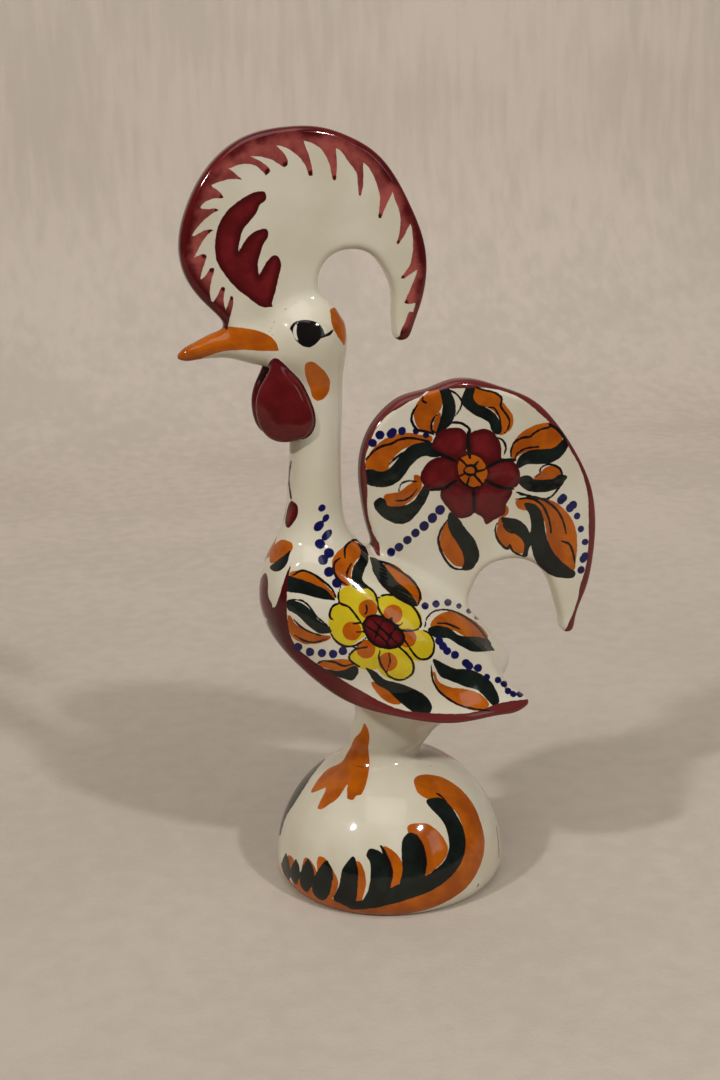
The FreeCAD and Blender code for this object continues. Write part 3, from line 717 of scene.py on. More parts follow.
# The wing's bare middle. What lies outside it is the rim.
WING_MIDDLE = """
    291,567* 288,580 287,600 288,625 295,645 312,660 330,672 360,690 395,708 430,713 470,713 500,703
    528,699* 540,680* 500,600* 420,540* 330,520* 285,530* 250,548* 250,612* 275,607* 279,597 284,580
    290.4,564*"""
WING_PAINT = [
    fills("yellow", """
        339,600 342,590 352,586 365,587 375,594 378,602 372,612 368,625 350,615 / 378,600 388,595 400,597
        412,605 420,615 420,625 412,631 400,631 388,625 380,614 / 398,640 412,632 425,632 433,640 434,650
        428,658 418,660 406,654 / 395,642 405,652 412,660 414,668 408,677 400,680 390,678 380,670 380,655 /
        350,655 358,648 372,643 382,650 380,660 376,668 362,668 352,662 / 331,612 338,604 348,606 358,618
        366,632 356,641 345,646 335,640 330,628"""),
    spots("orange", 8.5, "368,609 393,614 407,638 388,662 366,649 352,631"),
    fills("wine", WING_HEART),
    fills("dark", WING_HEART),
    strokes("black", 1.3, """
        363,626 367,618 376,615.5 388,620 399,629 404,638 400,645 390,648 378,646 369,639 363,627"""),
    strokes("black", 0.9, """
        372,619 384,631 398,644 / 366,626 378,634 390,646 / 384,619 378,630 374,642 / 396,627 390,636
        386,647 / 389,653 390,662 387,671 / 366,604 367,611 364,615 / 386,622 392,618 393,624 400,625
        403,622 / 352,624 360,623 366,625 / 356,632 362,632 367,630 / 293.5,619 300,626 310,632 321,635.5 /
        295,635.5 305,641 316,642 327,639 / 395,687 415,692 427,702"""),
    strokes("black", 1.1, """
        341,586 338.5,594 340,603 349,607 357,617 363,625 / 340,603 333,606 330,612 330,617 333,620 /
        331,634 336,641 344,646 354,646 361,642 367,637 / 353,587 364,586 373,591 377,599 379,610 386,619 /
        376,600 384,595 396,596 408,602 417,612 421,623 418,629 408,631 397,629 / 405,640 411,650 418,658
        427,659 433,653 434,643 430,634 423,630 / 398,646 407,654 413,663 413,672 407,678 398,680 388,676 /
        368,647 356,649 349,656 352,662 360,667 / 431,665 433,680 440,692 455,703 470,708 490,711"""),
    strokes("black", 1.0, """
        380,650 379,658 383,668 388,675 / 351.6,563 347.6,571 347,577 351.6,584 / 372.6,569 379,579 387,588
        398,597 411,605 / 290,600 300,600 308,605 316,616 323,622 330,628 / 316,664.5 322.6,661 334,662
        343.5,666 351.6,664.5 / 425,627 427,618 435,611 448,610 462,615 478,627 490,643 496,650 / 437,623
        448,624 460,629"""),
    fills("orange", """
        341,584 335,575 333,562 338,553 345,547 352,542 358,545 360,555 355,560 350,572 350,584 / 384,566
        395,566 408,578 416,588 421,598 416,603 408,595 396,582 / 290,574 300,571 310,573 322,583 332,593
        334,598 325,596 312,587 300,580 / 289,616 295,625 305,630 318,635 330,637 320,642 305,643 294,637
        289,628 / 320,665 330,661 345,660 353,663 350,669 338,670 / 431,626 436,618 445,613 455,613 468,618
        478,625 487,636 480,640 468,637 455,630 440,627 / 372,683 380,685 392,693 400,703 390,702 380,695 /
        434,672 438,682 450,688 465,690 480,695 488,705 478,710 462,706 448,698 438,688"""),
    fills("green", """
        358,543* 365,550 368,560 364,570 362,580 370,588* 355,588 352,580 354,567 360,558 361,550 / 370,557*
        378,560 386,568 396,581 409,592 418,606* 410,605 395,597 382,585 374,572 / 286,576 295,578 310,583
        325,590 335,600* 320,598 300,593 286,590 / 288,600 300,603 310,610 318,620 328,627 331,632 320,633
        308,625 298,615 288,609 / 320,668 335,671 345,670 355,666 358,672 352,680 340,677 330,673 / 428,630
        435,626 448,628 460,636 475,637 487,640 495,650* 485,651 472,651 460,645 448,638 435,637 / 366,668*
        375,672 385,680 400,684 415,690 425,696 431,705 430,712 420,716 408,708 398,700 388,690 376,683 /
        433,660 440,662 455,669 470,670 485,677 494,687 499,700 495,707* 488,700 478,690 465,686 450,680
        440,675"""),
    strokes("black", 1.2, """
        345,558 345,548 350,542 356.5,540 363,545 368,555 / 340,558 334.7,563 334,571 338,579 347,585 /
        371,558 379,561 390,564.5 400,571 411,579 419,590 420,597 418,605 / 292,576 301.6,570.5 313,574
        324,582 332,589 335.5,597"""),
    spots("blue", 5.0, "320,544 329,553 323,560 329,572 337,583"),
    spots("blue", 4.2, "298,647 310,652 322,653 333,654 343,651"),
    spots("blue", 3.6, "425,606 436,604 448,602.5"),
    spots("blue", 2.6, "459,606 469,611 477,617"),
    spots("blue", 4.0, "439,641 443,646 447,651 455,655 466,663 469,666 478,668"),
    spots("blue", 3.2, "487,677 498,680 504,684 508,691 513,694 520,694"),
]
# The far wing's rim where it shows past the breast
FAR_WING_PAINT = [
    fills("wine", "264.6,573 268,579 268,595 271.8,604 274,616 273,628 267,619 259,611 254,598 258,584"),
]
# The tail's bare middle. What lies outside it is the rim.
TAIL_MIDDLE = """
    380,548 376,538 372.4,530 368.7,515 367.6,500 367.6,490 366.5,475 365.7,460 368,450 371.7,440 376,430
    383.7,420 391,413 401,407.4 410,401.4 420.5,397 428,392.4 440,390 450.4,388.7 465.4,388.2 480.4,387.6
    491,388.7 500,390.2 509,393.2 519.4,397.7 528.4,403.7 537.4,411.2 546.4,419.4 552.4,425.7 560,434.4
    566,442 572,452.4 579.4,466 583.9,478 586.9,490 588.4,502 588.7,526 588.7,539.4 587.6,553 586,565
    583,577 580,586 577.9,598 574.9,608.4 570.4,619 566,630* 564,645* 540,645* 500,680* 400,640* 376,580*"""
TAIL_PAINT = [
    fills("orange", """
        429.4,394 434,391 440,391 441.4,400 440.6,407.4 435.4,415 431.7,421 431,430 428,432 422,430
        417.4,425.4 415.2,418 414.4,412 417.4,404.4 422,398.4 / 440,413.4 436,419.4 434,427 435.4,431.4
        438.4,424 / 476,388.7 482,390 491,392.4 498.4,397 501.4,402 507.4,409 512,416.4 512,424 509,430
        501.4,434.4 500,433 502,427 500,418 494,410.4 488,406.7 480.4,405 475,401.4 473,395.4 / 513.4,458.4
        512,451.7 513.4,445 518,437.4 524,432 533,427 543.4,424 551,424 555.4,430 561.4,436 560,442
        552.4,450 542,449.4 530,450 522.4,452.4 516.4,456 / 534.4,478 540.4,473.4 545,469 551,466.7
        557,468.2 560,472 558.4,476.4 551,478.7 542,479.4 / 516.4,502 524,499 534.4,498 545,499.7
        555.4,503.4 564.4,511 572,521.4 575.6,533.4 576.4,547 575,559 573.4,569.4 566,565 557,557.4
        551,548.4 548,538 546.4,526 543.4,517 537.4,508 530,505 527,509.4 519.4,508 / 500,518.4 505,520
        509,527.4 515,533.4 522.4,539.4 524.6,547 523,552 516.4,552 510.4,548.4 506,548.4 500,542.4 497,535
        498.4,526 / 500,505 506,506 508,512 504,516 500,514 / 448,520 449,529 453.4,538 461,547 464.6,556
        464,565 456.4,565 449,559 443,550 440.6,541 443,530.4 / 366.4,466 368,458.4 372.4,451 380,443.4
        389,438 399.4,434.4 410,433.7 420.4,436 429.4,436 431.7,440.4 422,442 410,445 399.4,451 390.4,460
        388,466 386.7,471 378.4,471 369.4,469 / 415,475.6 420.4,478 421,487 417.4,493 410,500.4 401,505.6
        392,506.4 386,502 385,496 393.4,493.7 399.4,493 407,487 414.4,481.6"""),
    fills("green", """
        440,386.4 447.4,386.4 452,395.4 455,404.4 455,413.4 452,421 446,428.4 440,434.4 435.4,436 438.4,427
        441.4,416.4 443,407.4 442.2,398.4 / 468.4,385 463,395.4 461.7,402 465.4,407.4 473,413.4 482,418
        489.4,422.4 491.7,430 497.7,434.4 501.4,430 500,422.4 494,413.4 485,407.4 477.4,404.4 473,398.4
        474.4,389.4 475,385 / 516.4,469 517,463 519.4,457 525.4,452.4 534.4,450 543.4,449.4 552.4,448.7
        560,443.4 563.7,439.7 567.4,445 564.4,452.4 558.4,458.4 549.4,463 539,463.7 528.4,463.7 522.4,466 /
        518,481 522.4,476.4 530,476.4 534.4,480 543.4,480 552.4,479.4 560,475 566.7,476.4 564.4,481
        561.4,485.4 552.4,490 540.4,492 528.4,490.6 521,485.4 / 524.6,504 533,504 539.6,509.4 543.4,520
        545,532 548,542.4 552.4,551.4 560,560.4 569,568 575,572.4 572.6,577.6 563,577.6 552.4,575.4
        543.4,569.4 536,560.4 532,548.4 530.6,536.4 531.4,526 530,515.4 / 501.4,517.6 509,518.4 518,520
        525.4,526 530,535 530,544 527.6,552 527,556.6 522.4,556.6 524.6,550 524,542.4 519.4,536.4
        510.4,530.4 504.4,524.4 / 450.4,512.4 458,518.4 465.4,529 473,538 477.4,547 479,556 476,563.4
        470.6,569.4 462.4,569.4 464.6,562 462.4,551.4 456.4,541 450.4,532 448,521.4 / 360.4,473.4
        369.4,469.6 380,472 387.4,470.4 395,463 402.4,454 410,446.4 419,443.4 429.4,442.6 440,446.4 443,454
        434,457 425,455.4 418,458.4 410,466 404,475 396.4,482.4 386,486.6 374,486 365,482.4 / 374.7,502
        380,498 385,500.4 387.4,505.6 395,507 405.4,505.6 414.4,500.4 420.4,491.4 425,485.4 429.4,490
        426.4,499 422,506.4 416,514.6 408.4,521.4 399.4,523.7 389,520.6 380,514 374.7,507"""),
    strokes("black", 1.1, """
        439,413.4 434,418 431.7,424 431.7,430 436,433 / 423.4,397 422.4,400.5 427,403 / 476,387.2 483.4,390
        494,392.4 500,396 502,400 500.6,406 506.6,415 509.6,421 508,428.4 504.4,433 / 515,458.4 518,453
        525.4,448.7 533,447.2 539.6,446.7 / 519.4,494.4 530,496 543.4,499.7 554,507 561.4,517 565,527.4
        566,533.4 / 497,523 495.2,530.4 497,538 501.4,544.6 507.4,549 509.6,544.6 512,550 516.4,553.6
        522.4,556 / 503,524.4 507.4,530.4 514,533.4 / 395,500.4 404,500.4 411.4,496 417.4,489 / 497,437.4
        503,440.4 506,448 503.7,455.4 / 486,469 480,471 476,472 / 467,487 468,481 470,476"""),
    strokes("black", 1.3, """
        417.4,405 413,412 411.4,419.4 413.7,425.4 418.2,430 425,431.4 431,433 434,434.4 / 447.4,520
        441.4,529 438.4,539.4 440.6,550 446,560.4 453.4,568 462.4,569.6 / 366.4,460 372.4,452.4 381.4,446.4
        390.4,444 399.4,439.6 410,438 420.4,439.6 431,442 / 389,465 393.4,460 401,454 408.4,450 / 447.4,427
        452,422.7 461,423.2 469,428.4 470.7,433 / 464,470 467,466.5 472,465.5 476,469 475,473.5 470,475
        465,473 464,470"""),
    strokes("black", 1.0, """
        448,389.4 456.4,394 461.7,401.4 460,409 455,416.4 / 488.7,407.4 494,408 497.7,413.4 500,419.4
        500.6,430 / 398.7,491.4 401,484 408.4,481 417.4,481.6 / 460,480 466,485 474,488 481,485"""),
    strokes("black", 1.2, """
        511,457 511,451 513.4,444 518,439.7 524,437.4 530,436.7 534.4,433 542,429 551,427 / 536,476.4
        539.6,473.4 540.4,469 545,465.2 551,464.4 558.4,467.4 562,473.4 561.4,481 558.4,488.4 551,496.7
        543.4,499 530,496 516,492 / 515,499.7 525.4,498.2 534.4,499.7 542,505 547,514 550,524.4 551,532.7 /
        561.4,541 569,544 572.6,551.4 575,563.4 / 458,458 463,461.5 467,466 / 479,461 476,464 474,467.5 /
        483,485 478,479 474,475 / 458,477 462,475 466,473"""),
    strokes("black", 1.4, "549,424 558.4,430 564.4,437.4 567.4,447"),
    fills("wine", """
        431.7,445 435.4,436 443,430 452,427.7 461,428.4 467,434.4 468,445 463,456 453.4,459 441.4,456
        434,449.4 / 469,434.4 477.4,430 486.4,429 494,433 500,442 501.4,452.4 500,460 489.4,463 479,460
        471,454 468.4,445 / 485,466 494,460 506,458.4 513.4,461.4 519.4,470.4 520,479.4 516.4,487 506,488.4
        494,486 486.4,478 / 478,485.4 489.4,482 501.4,485 512,490 510.4,497.4 506,505 504.4,514 494,520
        486.4,524.4 482,517 474.4,512.4 473,500.4 / 455,484 465.4,486 475.4,493 475,505 474.4,512.4
        467,517.7 458,517.7 450.4,511 443,502 440,494.4 443,488.4 / 420.4,475 425,466 431,460 440,457
        453,458 460,468 458.4,479 449,487 438.4,490 428.4,490 422,482.4 / 455,455 475,452 489,462 490,482
        478,492 460,490 450,475"""),
    strokes("black", 2.0, "468,432 468,445 470,458"),
    strokes("black", 1.8, "432,450 442,455 456,461 / 516,460 500,461 486,468"),
    strokes("black", 1.6, "514,489 500,487 485,480 / 430,490 444,488 457,480"),
    strokes("black", 1.5, "474,512 474,500 473,488"),
    clear("wine", TAIL_HEART),
    fills("orange", TAIL_HEART),
    spots("blue", 4.0, "373,443 393,432 402,431 / 585,556 583,559 581,570"),
    spots("blue", 4.4, """
        380,435 391,434 / 391,552 399,547 407.5,540 415.5,533 / 561,500 563,498 570,508 573,505"""),
    spots("blue", 3.2, "416,431 426,435"),
    spots("blue", 5.0, "424,526 432.5,518 440,510"),
    spots("blue", 3.5, "577,516 581,529 585,542"),
]
DOME_PAINT = [
    fills("orange", """
        364,726 368,733 369,740 368,750 369,765 367,778 364,788 361,794* 356,795 353,799 348,798* 349,781*
        344,788 338,797 330,803 322,808 318,808* 325,793 327,786* 313,792 312,790* 322,775 330,768 342,762
        348,752 352,745 356,738 360,734 / 415,779 425,775 440,777 452,783 463,792 473,805 480,822 484,840
        482,858 475,875 465,888 450,899 430,908 405,914 385,917 360,915 340,910 320,902 303,892 330,899
        370,906 410,898 445,880 462,855 464,830 455,810 440,800 425,797 417,790 / 408,828 420,824 430,826
        440,835 447,848 443,860 430,872 425,876 418,850 / 383,848 393,852 401,862 403,872 398,884 390,888
        388,870 / 356,863 362,868 365,882 362,896 358,905 352,890 / 318,860 323,858 328,864 334,874 337,884
        333,895 327,898 320,880 / 304,861 309,860 315,870 316,880 311,888 303,880 / 288,857 292,858 295,866
        293,878 288,872 / 291,871 299,876 305,884 314,890 316,899 305,897 296,888"""),
    strokes("orange", 4.2, "282,866 289,881 299,892 314,901 332,908 352,912"),
    fills("green", """
        427,800 440,798 450,806 458,818 464,832 465,848 461,862 452,875 440,885 425,893 408,899 390,904
        370,908 352,909 348,903 375,899 400,893 424,878 435,870 444,862 449,850 449,838 445,825 438,815
        430,807 / 409,833 417,836 422,848 425,862 424,876 418,888 404,898 388,902 398,888 403,872 402,856
        403,841 / 371,849 381,853 388,864 391,878 388,890 378,899 362,905 368,892 371,878 371,864 367,855 /
        347,863 354,857 357,870 357,885 356,898 352,907 340,903 334,898 340,885 342,872 / 326,861* 331,872
        331,885 328,896 321,900 313,892 314,880 319,869 / 308,859* 312,866 314,876 311,886 306,892 301,886
        300,876 303,867 / 296,859* 299,867 299,877 296,884 291,878 291,869 / 286,853* 289,862 290,873
        289,880 284,873 282,864 / 352,907 366,900 380,897 392,888 402,884 410,891 402,899 388,904 372,908"""),
    strokes("black", 1.6, "381,846 386,856 391,872 388,890 / 416,835 422,846 425,860 424,874"),
    strokes("black", 1.3, "436,793 441,796 446,801 / 353,857 356,868 357,880"),
    strokes("black", 1.2, "327,861 331,870 332,880"),
    strokes("black", 0.9, "496,825 498,840 499,858 / 477,887 479,884"),
]
# The far side's frond where it shows at the dome's edge
FAR_FROND_PAINT = [
    fills("green", "325,759* 312,775 298,797 286,816 280,835* 268,826 278,795 299,768"),
]


def read_marks(text):
    """Each mark's pixels, and which of them are sharp corners."""
    marks = []
    for mark in text.split("/"):
        words = mark.split()
        pixels = np.array([[float(number) for number in word.rstrip("*").split(",")] for word in words])
        marks.append((pixels, [word.endswith("*") for word in words]))
    return marks


# Steps of a smooth line from one chosen point to the next, on a mark and on the outline of a bare middle
MARK_STEPS = 5
MIDDLE_STEPS = 3


def smooth_line(points, corners, closed, steps=MARK_STEPS):
    """A smooth line through the points that keeps the sharp corners."""
    count = len(points)
    line = []
    for i in range(count if closed else count - 1):
        j = (i + 1) % count
        first = points[i]
        last = points[j]
        before = points[i - 1] if (i > 0 or closed) and not corners[i] else 2 * first - last
        after = points[(j + 1) % count] if (j + 1 < count or closed) and not corners[j] else 2 * last - first
        for step in range(steps):
            t = step / steps
            line.append(0.5 * (2 * first + (last - before) * t
                               + (2 * before - 5 * first + 4 * last - after) * t * t
                               + (3 * first - before - 3 * last + after) * t ** 3))
    if not closed:
        line.append(points[-1])
    return np.array(line)


def line_distance(u, v, line):
    """Distance to an open line, and how far along it the nearest place lies, from 0 to 1."""
    nearest = np.full(u.shape, ENDLESS)
    along = np.zeros(u.shape)
    lengths = np.linalg.norm(np.diff(line, axis=0), axis=1)
    total = lengths.sum()
    passed = 0.0
    for (u0, v0), (u1, v1), length in zip(line, line[1:], lengths):
        run = u1 - u0
        rise = v1 - v0
        part = np.clip(((u - u0) * run + (v - v0) * rise) / (length * length + NO_LENGTH), 0, 1)
        gap = (u - u0 - run * part) ** 2 + (v - v0 - rise * part) ** 2
        closer = gap < nearest
        nearest = np.where(closer, gap, nearest)
        along = np.where(closer, (passed + length * part) / total, along)
        passed += length
    return np.sqrt(nearest), along


LAYERS = ["yellow", "orange", "green", "wine", "dark", "blue", "black", "white"]
# A layer's distance where nothing is painted
BARE = 4.0
# The distances that stand for the tone of the tail's and the wings' rims, and for that at a wing's front end,
# and the pixels across the photograph between which the wing's tone changes
RIM_SHADE = -0.15
FRONT_RIM_SHADE = -0.5
FRONT_RIM_PIXELS = (300, 360)
# Width of a brush stroke's ends, as a share of its middle
STROKE_END = 0.6
# How much more steeply than its own distance a mark ends at the border of its region, and the border's margin
LIMIT_SLOPE = 3
LIMIT_MARGIN = 1.5
# Share of the full turn to the camera past which hidden skin gets no marks
HIDDEN_TURN = -0.12
# The wing's rim: its width, and how deep the paint of the rim and of the face reaches, by the wing's wall.
# Slack lets the paint reach a little past the wing's own outline.
WING_RIM_WIDTH = 2.2
WING_RIM_DEPTH = 1.3
WING_FACE_DEPTH = 0.5
WING_SLACK = 0.5
# How far inside the bare middle the rim's tone still holds
RIM_TONE_REACH = 1.0
# How far past its form each region's paint is laid
SLAB_REACH = 1.0
WING_REACH = 0.5
FLANK_REACH = 2.5
FACE_REACH = 2.0
BODY_REACH = 1.5
# The lowest levels of the paint on comb, tail and trunk, the highest of the dome's, and how deep under its
# outside the dome's skin still counts as painted
COMB_PAINT_BOTTOM = HEAD_Z - COMB_DROP
TAIL_PAINT_BOTTOM = TAIL_BOTTOM - 2
TRUNK_PAINT_BOTTOM = BODY_BOTTOM + 10
DOME_PAINT_TOP = BODY_BOTTOM + 4
DOME_PAINT_DEPTH = 2
# Where flank and cheek are painted together with wing and face: above these levels, and this far to the left
FLANK_BOTTOM = WING_BOTTOM + 18
FLANK_SIDE = -3
CHEEK_BOTTOM = HEAD_Z - 22
CHEEK_SIDE = -1
# The breast, where the far wing's rim shows, ends here towards the tail
BREAST_BACK = -20
# The wattles' paint: how steeply its edge falls, and how far it reaches
WATTLE_PAINT_SLOPE = 2
WATTLE_PAINT_REACH = 1.6
# Length round the dome, by its length at the widest level, at which the marks' widths are true
DOME_ROUND_SHARE = 0.8
# Every fourth point of an outline is enough for the paint
COARSE = 4


def mark_distance(kind, size, line_points, corners, u, v):
    """Distance of the places to one brush mark, less than zero on its colour."""
    if kind == "spots":
        gaps = [np.hypot(u - place[0], v - place[1]) for place in line_points]
        return np.min(gaps, axis=0) - size / PIXELS_PER_MM
    line = smooth_line(line_points, corners, kind != "stroke")
    if kind != "stroke":
        return outline_distance(u, v, line)
    gap, along = line_distance(u, v, line)
    taper = STROKE_END + (1 - STROKE_END) * np.sin(np.pi * np.clip(along, 0, 1)) ** 0.5
    return gap - size / PIXELS_PER_MM * taper


def flat_trunk(places):
    """Round the trunk and up: the way round is measured along the skin at its level."""
    at = spline([row[0] for row in trunk_table()], [row[1:] for row in trunk_table()])
    here = at(places[:, 2])
    around = np.arctan2(np.abs(places[:, 1]) / here[:, 2], -(places[:, 0] - here[:, 0]) / here[:, 1])
    return np.stack([around * (here[:, 1] + here[:, 2]) / 2, places[:, 2]], axis=1)


def flat_dome(places, turn=0.0):
    """Round the dome, and up along its skin."""
    around = np.arctan2(places[:, 1], places[:, 0]) + math.pi / 2 + turn
    around = (around + math.pi) % (2 * math.pi) - math.pi
    out = np.hypot(places[:, 0], places[:, 1])
    up = np.arctan2(places[:, 2] - DOME_EQUATOR, out)
    return np.stack([around * DOME_RADIUS * DOME_ROUND_SHARE, up * DOME_RADIUS], axis=1)


def photo_view(places):
    """Where places of the figure's left side lie in the photograph, in millimetres on the clay."""
    from_camera = places - CAMERA_PLACE
    depth = from_camera @ AHEAD
    across = FOCAL_PX * (from_camera @ RIGHT) / depth + FRAME_WIDTH / 2
    down = FRAME_HEIGHT / 2 - FOCAL_PX * (from_camera @ UP) / depth
    return np.stack([across, down], axis=1) / PIXELS_PER_MM


def photo_marks(pixels):
    return pixels / PIXELS_PER_MM


def side_view(places):
    return places[:, [0, 2]]


def side_marks(level):
    """Takes pixels to the upright plane at Y = level, which is seen from the side."""
    def flatten(pixels):
        direction = rays(pixels)
        return side_view(CAMERA_PLACE + direction * ((level - CAMERA_PLACE[1]) / direction[:, 1])[:, None])

    return flatten


def turned_away(places, outwards):
    """How far the skin is turned away from the camera: less than zero where it can be seen."""
    to_camera = CAMERA_PLACE - places
    shown = (to_camera * outwards).sum(axis=1) / np.linalg.norm(to_camera, axis=1)
    return (HIDDEN_TURN - shown) * DOME_RADIUS


class Painting:
    """The painted colours' distances at every place of the clay's skin, and the distance from the comb's rim.
    Most marks are laid on the left side and on its mirror image alike."""

    def __init__(self, lattice, places, skin, outwards):
        self.lattice = lattice
        self.skin = skin
        self.places = places
        self.left = np.stack([places[:, 0], -np.abs(places[:, 1]), places[:, 2]], axis=1)
        flip = np.where(places[:, 1:2] > 0, (1, -1, 1), (1, 1, 1))
        self.away = turned_away(places, outwards)
        self.left_away = turned_away(self.left, outwards * flip)
        self.seen = photo_view(self.left)
        self.body = trunk(*self.left.T)
        self.layers = {name: np.full(len(places), BARE) for name in LAYERS}
        for name in ("dark", "rim"):
            self.layers[name] = np.full(len(places), -BARE)
        self.paint_slabs()
        self.paint_wings_and_body()
        self.paint_dome()
        drop = np.where(skin, wattle(*self.left.T), BARE)
        self.layers["wine"] = np.minimum(self.layers["wine"], WATTLE_PAINT_SLOPE * drop - WATTLE_PAINT_REACH)

    def near(self, distance, reach):
        """The places of the skin near a form, and how far past its border each of them lies."""
        here = np.where(self.skin, distance, BARE)
        chosen = np.flatnonzero(here < reach + LIMIT_MARGIN)
        return chosen, here[chosen] - reach

    def mark(self, chosen, flat, limit, marks, flatten):
        """Lays the marks of one region on the chosen places, whose flat coordinates are given."""
        u, v = flat.T
        for layer, kind, size, text in marks:
            values = self.layers[layer]
            for pixels, corners in read_marks(text):
                points = flatten(pixels)
                low = points.min(axis=0) - size / PIXELS_PER_MM - 1
                high = points.max(axis=0) + size / PIXELS_PER_MM + 1
                near = np.flatnonzero((u > low[0]) & (u < high[0]) & (v > low[1]) & (v < high[1]))
                here = mark_distance(kind, size, points, corners, u[near], v[near])
                target = chosen[near]
                if kind == "clear":
                    values[target] = np.maximum(values[target], -here)
                else:
                    values[target] = np.minimum(values[target], np.maximum(here, LIMIT_SLOPE * limit[near]))

    def mark_rim(self, chosen, flat, limit, middle, flatten, shade):
        """Wine colour outside the bare middle, with its share of the dark tone."""
        (pixels, corners), = read_marks(middle)
        line = smooth_line(flatten(pixels), corners, True, MIDDLE_STEPS)
        here = -outline_distance(flat[:, 0], flat[:, 1], line)
        wine = self.layers["wine"]
        dark = self.layers["dark"]
        wine[chosen] = np.minimum(wine[chosen], np.maximum(here, limit))
        dark[chosen] = np.where(here < RIM_TONE_REACH, shade, dark[chosen])

    def paint_slabs(self):
        x, y, z = self.left.T
        for outline, thickness, bottom, middle, marks, shade in (
                (COMB_OUTLINE, COMB_THICKNESS, COMB_PAINT_BOTTOM, COMB_MIDDLE, COMB_PAINT, BARE),
                (TAIL_OUTLINE, TAIL_THICKNESS, TAIL_PAINT_BOTTOM, TAIL_MIDDLE, TAIL_PAINT, RIM_SHADE)):
            edge = outline_distance(x, z, outline[::COARSE])
            form = np.where(z > bottom, np.maximum(edge, np.abs(y) - thickness / 2), BARE)
            chosen, limit = self.near(form, SLAB_REACH)
            flat = side_view(self.left[chosen])
            flatten = side_marks(-thickness / 2)
            self.mark_rim(chosen, flat, limit, middle, flatten, shade)
            self.mark(chosen, flat, limit, marks, flatten)
            if outline is COMB_OUTLINE:
                rim = self.layers["rim"]
                rim[chosen] = np.maximum(rim[chosen], edge[chosen])

    def paint_wings_and_body(self):
        x, y, z = self.left.T
        body = self.body
        edge = outline_distance(x, z, WING_OUTLINE[::COARSE])
        skirt = bell(x, y, z)
        depth = np.where(edge > -WING_RIM_WIDTH, -WING_RIM_DEPTH * WING_WALL, -WING_FACE_DEPTH * WING_WALL)
        wing_skin = np.maximum(np.maximum(edge - WING_SLACK, skirt - WING_SLACK), depth - skirt)
        chosen, limit = self.near(wing_skin, WING_REACH)
        seen = self.seen[chosen]
        shade = np.interp(seen[:, 0] * PIXELS_PER_MM, FRONT_RIM_PIXELS, (FRONT_RIM_SHADE, RIM_SHADE))
        self.mark_rim(chosen, seen, limit, WING_MIDDLE, photo_marks, shade)
        from_far = photo_view(self.places)
        breast = (x < BREAST_BACK) & (z > BODY_BOTTOM) & (z < WING_BOTTOM + WING_RISE)
        for region, marks in ((breast, FAR_WING_PAINT), (z < BODY_BOTTOM, FAR_FROND_PAINT)):
            far = np.flatnonzero(self.skin & region)
            self.mark(far, from_far[far], self.away[far], marks, photo_marks)
        flank = np.where((z > FLANK_BOTTOM) & (y < FLANK_SIDE), np.abs(body), BARE)
        cheek = np.where((z > CHEEK_BOTTOM) & (y < CHEEK_SIDE), np.abs(body), BARE)
        face = np.minimum(np.minimum(head(x, y, z), beak(x, y, z)), cheek)
        for form, reach, marks in ((np.minimum(wing_skin, flank), FLANK_REACH, WING_PAINT),
                                   (face, FACE_REACH, FACE_PAINT)):
            chosen, limit = self.near(form, reach)
            limit = np.maximum(limit, self.left_away[chosen])
            self.mark(chosen, self.seen[chosen], limit, marks, photo_marks)
        form = np.where(z > TRUNK_PAINT_BOTTOM, np.minimum(body, wing_skin), BARE)
        chosen, limit = self.near(form, BODY_REACH)
        self.mark(chosen, flat_trunk(self.left[chosen]), limit, TRUNK_PAINT, self.on_trunk)

    def paint_dome(self):
        x, y, z = self.left.T
        base = np.minimum(dome_outside(x, y, z), np.where(z < DOME_PAINT_TOP, self.body, BARE))
        chosen, limit = self.near(np.where(base > -DOME_PAINT_DEPTH, base, BARE), BODY_REACH)
        for turn in (0.0, math.pi):
            self.mark(chosen, flat_dome(self.places[chosen], turn), limit, DOME_PAINT, self.on_dome)

    def on_trunk(self, pixels):
        return flat_trunk(on_clay(pixels, self.lattice))

    def on_dome(self, pixels):
        return flat_dome(on_clay(pixels, self.lattice))


